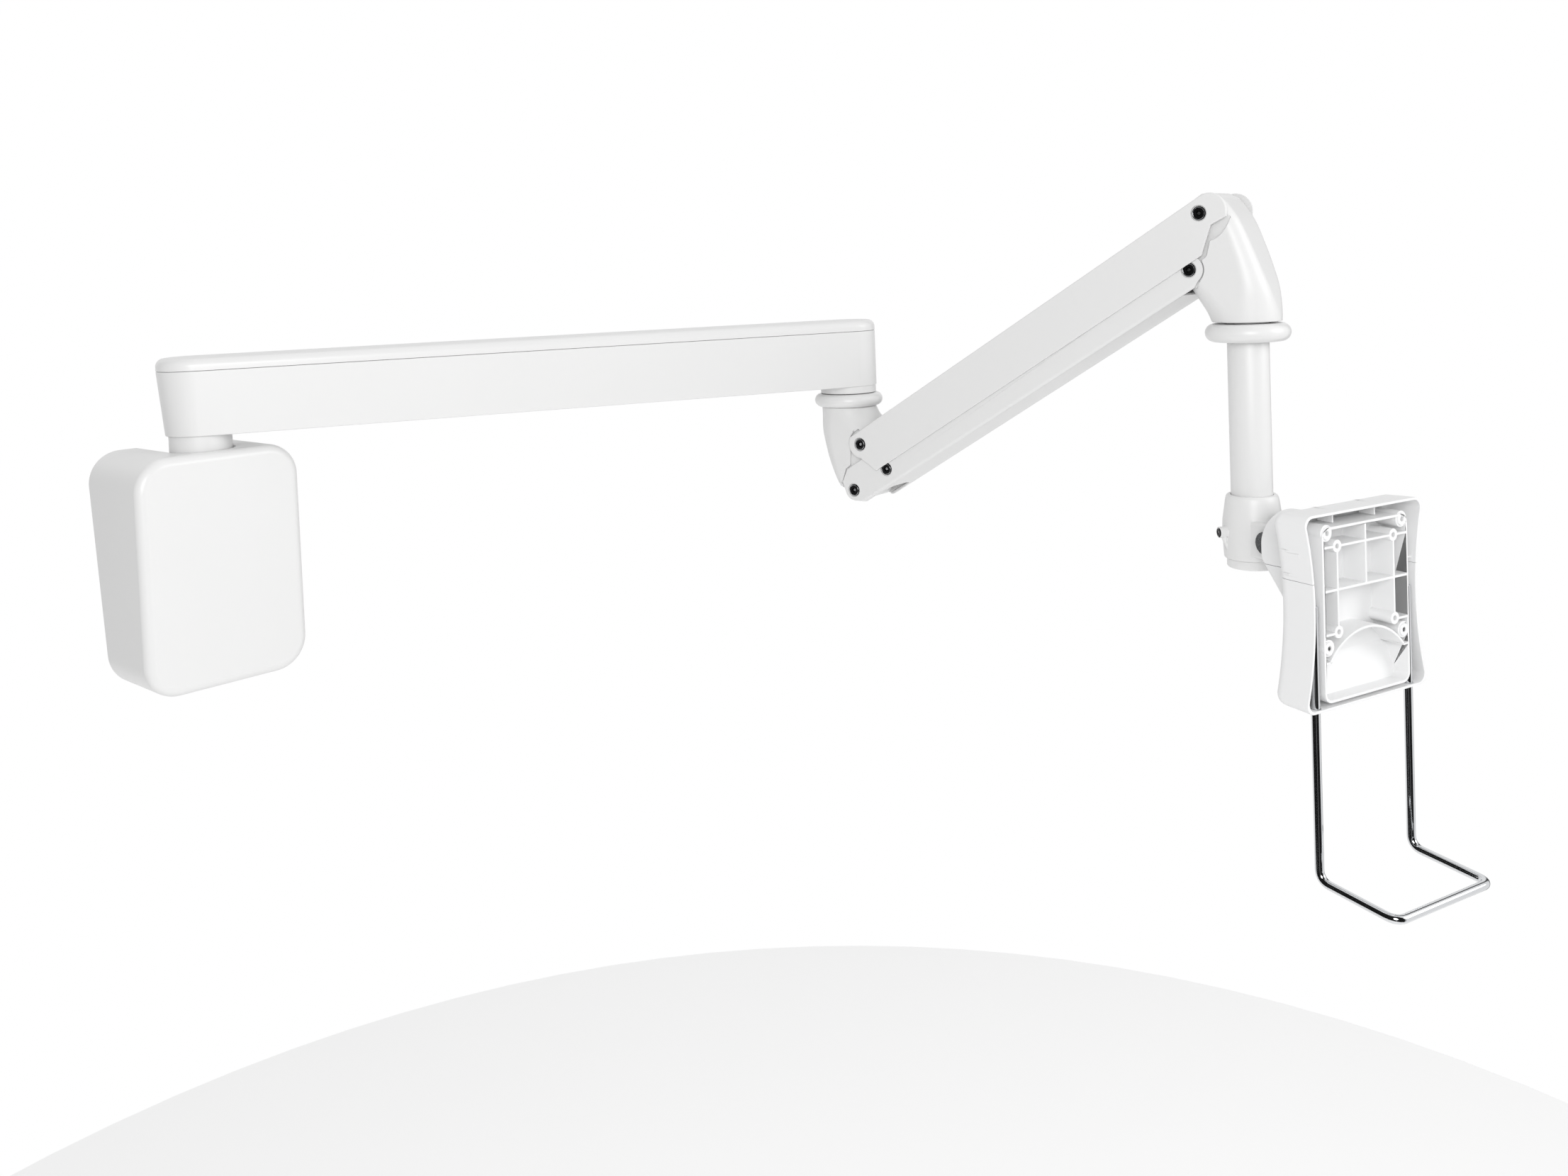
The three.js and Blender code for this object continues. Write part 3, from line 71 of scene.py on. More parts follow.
def link_frame(origin, toward, across):
    """A frame at a pivot, +X along the link and +Y along the pivot's axis."""
    along = (toward - origin).normalized()
    turn = Matrix((along, across, along.cross(across))).transposed().to_4x4()
    return Matrix.Translation(origin) @ turn


WALL = Matrix.Identity(4)
EXTENSION = level_frame(pivot("base_swivel"), pivot("elbow_swivel") - pivot("base_swivel"))
SPRING_ARM = level_frame(pivot("elbow_swivel"), pivot("stem_swivel") - pivot("elbow_swivel"))
HEAD_YOKE = level_frame(pivot("stem_swivel"), pivot("stem_swivel") - pivot("elbow_swivel"))
HEAD = level_frame(pivot("stem_swivel"), pivot("head_tilt") - pivot("stem_swivel"))
SIDE = SPRING_ARM.to_3x3() @ Vector((0, 1, 0))
UPPER_LINK = link_frame(pivot("lift"), pivot("head_level"), SIDE)
LOWER_LINK = Matrix.Translation(pivot("lower_swing") - pivot("lift")) @ UPPER_LINK

ARM_LONG = (pivot("elbow_swivel") - pivot("base_swivel")).to_2d().length / MM
LINK_LONG = (pivot("head_level") - pivot("lift")).length / MM
LINK_ANGLE = math.degrees(math.asin((pivot("head_level") - pivot("lift")).normalized().z))
LIFT_LOW, LIFT_HIGH = JOINTS["lift"]["range_deg"]
POST_OFFSET = -pivot("base_swivel").y / MM
TILT = Vector(((pivot("head_tilt") - pivot("stem_swivel")).to_2d().length / MM, 0, pivot("head_tilt").z / MM))
TRAY_RISE = 55  # the tray's top above the middle of its hole squares
DISPLAY = next(mount for mount in FRAME["record"]["mounts"] if mount["name"] == "display_face")
FACE_X = (HEAD.inverted() @ Vector(DISPLAY["pos_m"])).x / MM
TRAY_MESH = FRAME["nodes"]["mount_tray"].data
FACE_Z = max((HEAD.inverted() @ vert.co).z for vert in TRAY_MESH.vertices) / MM - TRAY_RISE


def in_frame(place, point):
    """A point of the world in a frame's millimetres."""
    return (place.inverted() @ point) / MM


# ---------- making ----------
def put_down():
    if bpy.context.object and bpy.context.object.mode != "OBJECT":
        bpy.ops.object.mode_set(mode="OBJECT")
    bpy.ops.object.select_all(action="DESELECT")


def pick(obj):
    put_down()
    obj.select_set(True)
    bpy.context.view_layer.objects.active = obj


def skin(name, rings):
    """A disc placed on the first ring and extruded through the others; rings are in millimetres."""
    put_down()
    bpy.ops.mesh.primitive_circle_add(vertices=len(rings[0]), radius=MM, fill_type="NGON")
    obj = bpy.context.object
    obj.name = obj.data.name = name
    bpy.ops.object.mode_set(mode="EDIT")
    mesh = bmesh.from_edit_mesh(obj.data)
    for vert, point in zip(mesh.verts, rings[0]):
        vert.co = Vector(point) * MM
    for before, ring in zip(rings, rings[1:]):
        tree = kdtree.KDTree(len(before))
        for i, point in enumerate(before):
            tree.insert(Vector(point) * MM, i)
        tree.balance()
        bpy.ops.mesh.extrude_region_move()
        mesh = bmesh.from_edit_mesh(obj.data)
        for vert in [v for v in mesh.verts if v.select]:
            vert.co = Vector(ring[tree.find(vert.co)[1]]) * MM
    bmesh.update_edit_mesh(obj.data)
    bpy.ops.mesh.select_all(action="SELECT")
    bpy.ops.mesh.normals_make_consistent(inside=False)
    bpy.ops.object.mode_set(mode="OBJECT")
    return obj


def slab(name, outline, low, high, plane="XZ"):
    """An outline in millimetres made thick across its plane."""
    if plane == "XZ":
        rings = [[(a, y, b) for a, b in outline] for y in (low, high)]
    elif plane == "XY":
        rings = [[(a, b, z) for a, b in outline] for z in (low, high)]
    else:
        rings = [[(x, a, b) for a, b in outline] for x in (low, high)]
    return skin(name, rings)


def block(x0, x1, y0, y1, z0, z1):
    """A box between its lowest and highest corners."""
    put_down()
    middle = Vector((x0 + x1, y0 + y1, z0 + z1)) * MM / 2
    bpy.ops.mesh.primitive_cube_add(size=1, location=middle)
    obj = bpy.context.object
    obj.scale = Vector((x1 - x0, y1 - y0, z1 - z0)) * MM
    bpy.ops.object.transform_apply(location=True, rotation=True, scale=True)
    return obj


def peg(radius, start, end, sides=64, tip=None):
    """A round bar between two points, tapered if a tip radius is given."""
    put_down()
    start, end = Vector(start) * MM, Vector(end) * MM
    turn = (end - start).to_track_quat("Z", "Y").to_euler()
    tip = radius if tip is None else tip
    bpy.ops.mesh.primitive_cone_add(vertices=sides, radius1=radius * MM, radius2=tip * MM,
                                    depth=(end - start).length, location=(start + end) / 2, rotation=turn)
    bpy.ops.object.transform_apply(location=True, rotation=True, scale=True)
    return bpy.context.object


def turned(name, profile, steps=96):
    """A profile of radius and height spun round Z; it ends on the axis or closes on itself."""
    put_down()
    closed = profile[0] == profile[-1]
    points = profile[:-1] if closed else profile
    bpy.ops.mesh.primitive_circle_add(vertices=len(points), radius=MM, fill_type="NOTHING")
    obj = bpy.context.object
    obj.name = obj.data.name = name
    bpy.ops.object.mode_set(mode="EDIT")
    mesh = bmesh.from_edit_mesh(obj.data)
    mesh.verts.ensure_lookup_table()
    for vert, (radius, height) in zip(mesh.verts, points):
        vert.co = Vector((radius, 0, height)) * MM
    if not closed:
        last = mesh.verts[len(points) - 1]
        mesh.edges.remove(next(e for e in mesh.verts[0].link_edges if last in e.verts))
    bmesh.update_edit_mesh(obj.data)
    bpy.ops.mesh.select_all(action="SELECT")
    bpy.ops.mesh.spin(steps=steps, angle=2 * math.pi, center=(0, 0, 0), axis=(0, 0, 1))
    bpy.ops.mesh.select_all(action="SELECT")
    bpy.ops.mesh.remove_doubles(threshold=0.00001)
    bpy.ops.mesh.normals_make_consistent(inside=False)
    bpy.ops.object.mode_set(mode="OBJECT")
    return obj


def fit(obj, *others, how="DIFFERENCE"):
    """Cuts, joins or keeps the common part, and clears the tools away."""
    for other in others:
        tool = obj.modifiers.new("fit", "BOOLEAN")
        tool.operation = how
        tool.object = other
        tool.solver = "MANIFOLD"
        pick(obj)
        bpy.ops.object.modifier_apply(modifier=tool.name)
        bpy.data.objects.remove(other)
    return obj


def merged(obj, *others):
    return fit(obj, *others, how="UNION")


def copied(obj):
    pick(obj)
    bpy.ops.object.duplicate(linked=False)
    return bpy.context.object


def soften(obj, width, segments=3, angle=35):
    """Rounds the edges that turn by more than an angle."""
    pick(obj)
    bpy.ops.object.mode_set(mode="EDIT")
    bpy.ops.mesh.select_all(action="SELECT")
    bpy.ops.mesh.remove_doubles(threshold=0.000004)
    bpy.ops.object.mode_set(mode="OBJECT")
    edge = obj.modifiers.new("edge", "BEVEL")
    edge.width = width * MM
    edge.segments = segments
    edge.limit_method = "ANGLE"
    edge.angle_limit = math.radians(angle)
    edge.use_clamp_overlap = False
    bpy.ops.object.modifier_apply(modifier=edge.name)
    return obj


SMOOTH_ANGLE = 34


def settle(obj, name, place, body, slot, *nodes, flat=True):
    """Puts a finished piece at its place in the arm, on its body, in its finish."""
    pick(obj)
    obj.name = obj.data.name = name
    obj.matrix_world = place
    bpy.ops.object.transform_apply(location=True, rotation=True, scale=True)
    bpy.ops.object.shade_smooth_by_angle(angle=math.radians(SMOOTH_ANGLE))
    if flat:
        even = obj.modifiers.new("even", "WEIGHTED_NORMAL")
        even.keep_sharp = True
        bpy.ops.object.modifier_apply(modifier=even.name)
    obj.data.materials.clear()
    obj.data.materials.append(FINISHES[slot])
    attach(obj, body)
    if nodes:
        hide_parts(*nodes)
    return obj


# ---------- outlines ----------
def arc(a, b, radius, start, end, steps):
    """Points round a centre, from one angle to another in degrees."""
    turns = [math.radians(start + (end - start) * i / steps) for i in range(steps + 1)]
    return [(a + radius * math.cos(t), b + radius * math.sin(t)) for t in turns]


def rounded(a0, a1, b0, b1, radius, steps=10):
    """A rectangle with round corners."""
    r = min(radius, (a1 - a0) / 2 - 0.01, (b1 - b0) / 2 - 0.01)
    corners = ((a1 - r, b1 - r, 0), (a0 + r, b1 - r, 90), (a0 + r, b0 + r, 180), (a1 - r, b0 + r, 270))
    return [point for a, b, start in corners for point in arc(a, b, r, start, start + 90, steps)]


def eased(rows, count):
    """Rows of numbers, first one the height, joined by a smooth curve through them."""
    heights = [row[0] for row in rows]
    result = []
    for i in range(count + 1):
        h = heights[0] + (heights[-1] - heights[0]) * i / count
        k = max(j for j in range(len(rows) - 1) if heights[j] <= h + 1e-9)
        span = heights[k + 1] - heights[k]
        t = (h - heights[k]) / span
        before, after = rows[max(k - 1, 0)], rows[min(k + 2, len(rows) - 1)]
        row = [h]
        for p0, p1, p2, p3 in zip(before[1:], rows[k][1:], rows[k + 1][1:], after[1:]):
            m1 = (p2 - p0) / max(rows[k + 1][0] - before[0], 1e-6) * span
            m2 = (p3 - p1) / max(after[0] - rows[k][0], 1e-6) * span
            row.append((2 * t**3 - 3 * t**2 + 1) * p1 + (t**3 - 2 * t**2 + t) * m1
                       + (3 * t**2 - 2 * t**3) * p2 + (t**3 - t**2) * m2)
        result.append(row)
    return result


# ---------- sizes and finishes the user can change ----------
def length(name, default, description):
    """What a length property says, from its size in millimetres."""
    return {"name": name, "default": default * MM, "description": description, "subtype": "DISTANCE",
            "unit": "LENGTH"}


class ArmSizes(bpy.types.PropertyGroup):
    cover_corner: bpy.props.FloatProperty(**length("Cover corner", 32, "Corner radius of the wall cover"))
    cover_fillet: bpy.props.FloatProperty(**length("Cover fillet", 9, "Rounding round the cover's front"))
    lid_round: bpy.props.FloatProperty(**length("Lid rounding", 8, "Rounding of the extension arm's lid"))
    edge: bpy.props.FloatProperty(**length("Moulded edge", 0.7, "Small rounding on moulded and cast edges"))
    lower_round: bpy.props.FloatProperty(**length("Lower link edge", 4, "Rounding under the lower link"))
    screw_head: bpy.props.FloatProperty(**length("Screw head", 6.7, "Radius of a pivot screw's head"))
    rod: bpy.props.FloatProperty(**length("Handle rod", 3.9, "Radius of the handle's rod"))
    rod_bend: bpy.props.FloatProperty(**length("Handle bend", 11, "Corner allowance of the handle's bends"))
    tray_rib: bpy.props.FloatProperty(**length("Tray rib", 2.2, "Thickness of the display tray's ribs"))


class ArmFinishes(bpy.types.PropertyGroup):
    paint: bpy.props.FloatVectorProperty(
        name="Paint", description="Satin paint on the arms and castings", subtype="COLOR", size=3,
        default=(0.74, 0.74, 0.738))
    cover: bpy.props.FloatVectorProperty(
        name="Covers", description="Smooth plastic of the covers and collars", subtype="COLOR", size=3,
        default=(0.745, 0.745, 0.743))
    head: bpy.props.FloatVectorProperty(
        name="Display head", description="Matt plastic of the display head", subtype="COLOR", size=3,
        default=(0.83, 0.832, 0.834))
    gloss: bpy.props.FloatProperty(
        name="Paint roughness", description="Roughness of the satin paint", subtype="FACTOR", default=0.36,
        min=0, max=1)


FINISHES = {}


def make_finish(name, colour, roughness, metallic=0.0, grain=900.0, depth=0.02, mottle=0.012,
                streak=(1, 1, 1), coat=0.0):
    """A procedural finish on object coordinates: faint mottling, uneven gloss and a fine surface texture."""
    finish = bpy.data.materials.new(name)
    finish.use_nodes = True
    nodes, links = finish.node_tree.nodes, finish.node_tree.links
    shader = nodes["Principled BSDF"]
    shader.inputs["Metallic"].default_value = metallic
    shader.inputs["Coat Weight"].default_value = coat
    place = nodes.new("ShaderNodeTexCoord")
    stretch = nodes.new("ShaderNodeMapping")
    stretch.inputs["Scale"].default_value = streak
    links.new(place.outputs["Object"], stretch.inputs["Vector"])

    cloud = nodes.new("ShaderNodeTexNoise")
    cloud.inputs["Scale"].default_value = 9
    cloud.inputs["Detail"].default_value = 4
    links.new(place.outputs["Object"], cloud.inputs["Vector"])
    shade = nodes.new("ShaderNodeMapRange")
    shade.inputs["To Min"].default_value = 1 - mottle
    shade.inputs["To Max"].default_value = 1 + mottle
    links.new(cloud.outputs["Fac"], shade.inputs["Value"])
    tint = nodes.new("ShaderNodeVectorMath")
    tint.operation = "SCALE"
    tint.inputs[0].default_value = colour
    links.new(shade.outputs["Result"], tint.inputs["Scale"])
    links.new(tint.outputs["Vector"], shader.inputs["Base Color"])

    fine = nodes.new("ShaderNodeTexNoise")
    fine.inputs["Scale"].default_value = grain
    fine.inputs["Detail"].default_value = 3
    links.new(stretch.outputs["Vector"], fine.inputs["Vector"])
    gloss = nodes.new("ShaderNodeMapRange")
    gloss.inputs["To Min"].default_value = max(roughness - 0.05, 0.02)
    gloss.inputs["To Max"].default_value = roughness + 0.05
    links.new(fine.outputs["Fac"], gloss.inputs["Value"])
    links.new(gloss.outputs["Result"], shader.inputs["Roughness"])
    bump = nodes.new("ShaderNodeBump")
    bump.inputs["Strength"].default_value = depth
    bump.inputs["Distance"].default_value = 0.0004
    links.new(fine.outputs["Fac"], bump.inputs["Height"])
    links.new(bump.outputs["Normal"], shader.inputs["Normal"])
    FINISHES[name] = finish


class ARM_OT_finishes(bpy.types.Operator):
    """Make the procedural finishes and give every frame node its own"""
    bl_idname = "display_arm.finishes"
    bl_label = "Finishes"

    def execute(self, context):
        tone = context.scene.arm_finishes
        make_finish("white_paint", tone.paint, tone.gloss, grain=520, depth=0.05)
        make_finish("white_plastic", tone.cover, 0.3, grain=1500, depth=0.02)
        make_finish("head_plastic", tone.head, 0.46, grain=2600, depth=0.08, mottle=0.008)
        make_finish("black_screw", (0.012, 0.012, 0.013), 0.28, metallic=0.6, grain=2400, depth=0.05,
                    mottle=0.2)
        make_finish("bright_steel", (0.6, 0.61, 0.63), 0.26, metallic=1, grain=900, depth=0.05, mottle=0.05,
                    streak=(1, 1, 12))
        make_finish("chrome_rod", (0.7, 0.71, 0.725), 0.1, metallic=1, grain=1200, depth=0.01, mottle=0.02)
        make_finish("cast_alloy", (0.55, 0.56, 0.58), 0.45, metallic=0.9, grain=700, depth=0.3, mottle=0.06)
        make_finish("bearing", (0.07, 0.075, 0.08), 0.5, grain=1500, depth=0.05, mottle=0.1)
        make_finish("spring_black", (0.03, 0.03, 0.035), 0.32, grain=900, depth=0.04, mottle=0.15, coat=0.3)
        slots = {piece["node"]: piece["material_slot"] for piece in FRAME["record"]["subparts"]}
        for node, obj in FRAME["nodes"].items():
            obj.data.materials.clear()
            obj.data.materials.append(FINISHES[slots[node]])
        return {"FINISHED"}


# ---------- the wall cover ----------
COVER_WIDE, COVER_HIGH, COVER_DEEP, COVER_WALL, COVER_SLANT = 161, 226.5, 115.6, 3, 31
COVER_SCREW_X, COVER_SCREW_Y = 36, -50
SCREW_SEAT, SCREW_HOLE = 4.5, 2.3
NECK_ROUND, NOTCH_GAP = 28.9, 2.4
RIM_PAST = 9


class ARM_OT_cover(bpy.types.Operator):
    """Mould the cover over the wall pivot, with its neck notch and slanted rim"""
    bl_idname = "display_arm.cover"
    bl_label = "Wall cover"

    def execute(self, context):
        sizes = context.scene.arm_sizes
        corner, fillet = sizes.cover_corner / MM, sizes.cover_fillet / MM

        def ring(y, inset):
            w, h = COVER_WIDE / 2 - inset, COVER_HIGH / 2 - inset
            return [(x, y, z) for x, z in rounded(-w, w, -h, h, max(corner - inset, 2), 14)]

        rings = []
        for shell in (COVER_WALL, 0):
            front = -COVER_DEEP + shell
            round_ = fillet - shell
            turns = [math.radians(90 * i / 10) for i in range(1, 11)]
            side = [ring(0, shell), ring(front + round_, shell)]
            side += [ring(front + round_ * (1 - math.sin(t)), shell + round_ * (1 - math.cos(t)))
                     for t in turns]
            rings += side[::-1] if shell else side
        cover = skin("cover", rings)
        clear = NECK_ROUND + NOTCH_GAP
        notch = arc(0, -POST_OFFSET, clear, 180, 360, 32) + [(clear, 5), (-clear, 5)]
        high = COVER_HIGH / 2
        past, slant = high + RIM_PAST, -COVER_SLANT * (1 + RIM_PAST / (2 * high))
        rim = slab("rim", [(0, past), (60, past), (60, -past), (slant, -past)], -120, 120, "YZ")
        fit(cover, slab("notch", notch, high - 20, high + 5, "XY"), rim)
        foot = -high
        for side in (-1, 1):
            x, y = side * COVER_SCREW_X, COVER_SCREW_Y
            fit(cover, peg(SCREW_SEAT, (x, y, foot - 1), (x, y, foot + 2)),
                peg(SCREW_HOLE, (x, y, foot - 1), (x, y, foot + 6)))
        soften(cover, sizes.edge / MM, angle=40)
        settle(cover, "cover_shell", WALL, "wall_unit", "white_plastic", "wall_cover")
        return {"FINISHED"}


# ---------- the extension arm ----------
BEAM_FOOT, BEAM_SEAM, LID_TOP = 128, 191.5, 203.5
BEAM_HALF, BEAM_HALF_FOOT, ELBOW_HALF, ELBOW_NECK = 37, 31.5, 32.9, 32
BEAM_GAP, LID_SCREWS = 0.3, (190, 505)
POST_BORE, SPINDLE_BORE = 15.3, 18


class ARM_OT_extension(bpy.types.Operator):
    """Make the level extension arm with its two necks, and its lid"""
    bl_idname = "display_arm.extension"
    bl_label = "Extension arm"

    def execute(self, context):
        sizes = context.scene.arm_sizes
        round_ = sizes.lid_round / MM

        def ring(wall_half, elbow_half, z):
            points = arc(0, 0, wall_half, 90, 270, 40) + arc(ARM_LONG, 0, elbow_half, -90, 90, 40)
            return [(x, y, z) for x, y in points]

        beam = skin("beam", [ring(BEAM_HALF_FOOT, ELBOW_HALF, BEAM_FOOT),
                             ring(BEAM_HALF, ELBOW_HALF, BEAM_SEAM - BEAM_GAP)])
        soften(beam, 1.2, 4, 60)
        wall_foot, elbow_foot = pivot("base_swivel").z / MM - 1.4, pivot("elbow_swivel").z / MM + 0.1
        necks = [peg(NECK_ROUND, (0, 0, wall_foot), (0, 0, BEAM_FOOT + 2), 96),
                 peg(ELBOW_NECK, (ARM_LONG, 0, elbow_foot), (ARM_LONG, 0, BEAM_FOOT + 2), 96)]
        for neck in necks:
            soften(neck, sizes.edge / MM, angle=60)
        merged(beam, *necks)
        fit(beam, peg(POST_BORE, (0, 0, 90), (0, 0, 170)),
            peg(SPINDLE_BORE, (ARM_LONG, 0, 110), (ARM_LONG, 0, 189)))
        for x in LID_SCREWS:
            fit(beam, peg(SCREW_SEAT, (x, 0, BEAM_FOOT - 1), (x, 0, BEAM_FOOT + 2.6)))
        settle(beam, "extension_casting", EXTENSION, "extension_arm", "white_paint", "extension_beam")

        rings = [ring(BEAM_HALF, ELBOW_HALF, BEAM_SEAM), ring(BEAM_HALF, ELBOW_HALF, LID_TOP - round_)]
        for i in range(1, 13):
            t = math.radians(90 * i / 12)
            inset = round_ * (1 - math.cos(t))
            rings.append(ring(BEAM_HALF - inset, ELBOW_HALF - inset, LID_TOP - round_ * (1 - math.sin(t))))
        lid = skin("lid", rings)
        soften(lid, 0.35, 2, 60)
        settle(lid, "extension_top", EXTENSION, "extension_arm", "white_plastic", "extension_lid")
        return {"FINISHED"}


# ---------- the collars ----------
COLLAR_ROUND, COLLAR_EDGE = 39.2, 1.4


class ARM_OT_collars(bpy.types.Operator):
    """Turn the full-round collars at the elbow and at the drop tube"""
    bl_idname = "display_arm.collars"
    bl_label = "Collars"

    def execute(self, context):
        rows = (("elbow_ring", 27, 104.4, 119.3, SPRING_ARM, "elbow", "elbow_collar"),
                ("stem_ring", 19.6, 181, 198.4, HEAD, "drop_stem", "drop_collar"))
        for name, bore, foot, top, place, body, node in rows:
            half, middle = (top - foot) / 2, (top + foot) / 2
            face = half - COLLAR_EDGE
            edge = arc(COLLAR_ROUND - half, middle, half, -90, 90, 28)
            lip = bore + COLLAR_EDGE
            profile = [(bore, middle - face), (lip, foot), *edge, (lip, top), (bore, middle + face)]
            ring = turned(name, profile + [profile[0]], 120)
            settle(ring, name, place, body, "white_plastic", node, flat=False)
        return {"FINISHED"}


# ---------- the links' outlines, for the casings and for their room in the yokes ----------
UPPER_HALF, UPPER_WALL, UPPER_TOP, UPPER_SEAM = 35.8, 2.6, 13.5, -35.3
LOWER_HALF, LOWER_WALL, LOWER_TOP, LOWER_FLOOR = 32.7, 2.4, 24.2, -17.9
TONGUE_HALF, SHOULDER_HALF = 29.4, 33
BOSS_HALF, BOSS_ROUND, BUSH_BORE = TONGUE_HALF + 0.4, 12.6, 8.4
LINK_GAP, ROOM_LIMIT, YOKE_STEPS = 1.2, 95, 28
SPRING_PIN = 52.3


def upper_outline(grow=0.0):
    """The upper link's side view, or the room round it when it grows by a gap."""
    far = LINK_LONG
    return [(3 - grow / 2, UPPER_SEAM - grow), *arc(0, 0, 15.5 + grow, 235, 120, 24),
            (-4, UPPER_TOP + grow), *arc(far + 9.5, -3.5, 17 + grow, 90, -52, 24),
            (far + 3.5 + grow, -15.5 - grow / 2), (far - 19.5 + grow / 2, UPPER_SEAM - grow)]


def lower_outline(grow=0.0):
    """The lower link's side view, or the room round it when it grows by a gap."""
    far = LINK_LONG
    return [(6 - grow / 2, LOWER_FLOOR - grow), *arc(0, 0, 11.5 + grow, 240, 165, 20),
            (-9 - grow, LOWER_TOP - 9), (5, LOWER_TOP + grow), (far - 4, LOWER_TOP + grow),
            *arc(far, 0, 14 + grow, 58, -80, 20), (far - 6, LOWER_FLOOR - grow)]


def reach(outline, turn):
    """How far an outline reaches from its origin in one direction."""
    c, s = math.cos(turn), math.sin(turn)
    far = 0.0
    for (ax, az), (bx, bz) in zip(outline, outline[1:] + outline[:1]):
        side_a, side_b = ax * s - az * c, bx * s - bz * c
        if side_a * side_b <= 0 and side_a != side_b:
            share = side_a / (side_a - side_b)
            far = max(far, (ax + (bx - ax) * share) * c + (az + (bz - az) * share) * s)
    return far


def swept(outline, at_head, centre):
    """The room that a link's end needs beside a yoke, over the whole lift."""
    origin = LINK_LONG if at_head else 0
    near = [(a - origin, b) for a, b in outline(LINK_GAP)]
    links = [LINK_ANGLE + LIFT_LOW - 1 + i for i in range(int(LIFT_HIGH - LIFT_LOW) + 4)]
    room = []
    for i in range(180):
        turn = math.radians(2 * i)
        far = min(max(reach(near, turn - math.radians(link)) for link in links), ROOM_LIMIT)
        room.append((centre[0] + far * math.cos(turn), centre[1] + far * math.sin(turn)))
    return slab("room", room, -60, 60)


def yoke(name, rows, centres, at_head):
    """A casting lofted through level sections, its cheeks cut back where the links swing."""
    def ring(row):
        z, back, front, half, corner = row
        return [(x, y, z) for x, y in rounded(back, front, -half, half, corner, 12)]

    form = skin(name, [ring(row) for row in eased(rows, YOKE_STEPS)])
    tongue = fit(copied(form), block(-200, 200, -TONGUE_HALF, TONGUE_HALF, -200, 500), how="INTERSECT")
    fit(form, swept(upper_outline, at_head, centres[0]), swept(lower_outline, at_head, centres[1]))
    for x, z in centres:
        merged(tongue, peg(BOSS_ROUND, (x, -BOSS_HALF, z), (x, BOSS_HALF, z)))
    merged(form, tongue)
    for x, z in centres:
        fit(form, peg(BUSH_BORE, (x, -BOSS_HALF - 1, z), (x, BOSS_HALF + 1, z)))
    return form


# height, back, front, half width and corner radius of each level section
ELBOW_ROWS = [(12, 7, 34, 29, 8), (16, 2, 38, 32, 9), (42, -13, 48, SHOULDER_HALF, 16),
              (63, -21, 52, SHOULDER_HALF, 20), (80, -26.5, 47, 32.5, 24), (94, -29.5, 36, 31.5, 29),
              (104.1, -31, 31.5, 31, 31)]
HEAD_ROWS = [(200, -32.5, 31.5, 32, 32), (210, -36, 31, 32.5, 30), (232, -47, 26.5, SHOULDER_HALF, 22),
             (250, -54, 20.5, SHOULDER_HALF, 18), (268, -54, 14, SHOULDER_HALF, 16),
             (297, -48, 2, SHOULDER_HALF, 14), (312, -43, -8, 32, 13), (319, -39, -14, 29.4, 10),
             (322.5, -34, -21, 24, 6)]


class ARM_OT_elbow_yoke(bpy.types.Operator):
    """Make the horn-shaped casting that hangs under the extension arm"""
    bl_idname = "display_arm.elbow_yoke"
    bl_label = "Elbow yoke"

    def execute(self, context):
        upper, lower = in_frame(SPRING_ARM, pivot("lift")), in_frame(SPRING_ARM, pivot("lower_swing"))
        form = yoke("elbow_yoke", ELBOW_ROWS, [(upper.x, upper.z), (lower.x, lower.z)], False)
        merged(form, peg(26.8, (0, 0, 103), (0, 0, 119.3)))
        soften(form, context.scene.arm_sizes.edge / MM, angle=40)
        settle(form, "elbow_casting", SPRING_ARM, "elbow", "white_paint", "elbow_yoke")
        return {"FINISHED"}


class ARM_OT_head_yoke(bpy.types.Operator):
    """Make the upright casting at the top of the drop tube"""
    bl_idname = "display_arm.head_yoke"
    bl_label = "Head yoke"

    def execute(self, context):
        upper = in_frame(HEAD_YOKE, pivot("head_level"))
        lower = upper + in_frame(SPRING_ARM, pivot("lower_swing")) - in_frame(SPRING_ARM, pivot("lift"))
        form = yoke("head_yoke", HEAD_ROWS, [(upper.x, upper.z), (lower.x, lower.z)], True)
        fit(form, peg(22.3, (0, 0, 199), (0, 0, 216.3)), peg(24.3, (0, 0, 216), (0, 0, 228)))
        soften(form, context.scene.arm_sizes.edge / MM, angle=40)
        settle(form, "head_casting", HEAD_YOKE, "head_mount", "white_paint", "head_yoke")
        return {"FINISHED"}


# ---------- the links ----------
SEAT_ROUND, SHANK_HOLE = 7.7, 6.1
UPPER_OPEN_ELBOW, UPPER_OPEN_HEAD, LOWER_OPEN_HEAD = 27, 24, 18


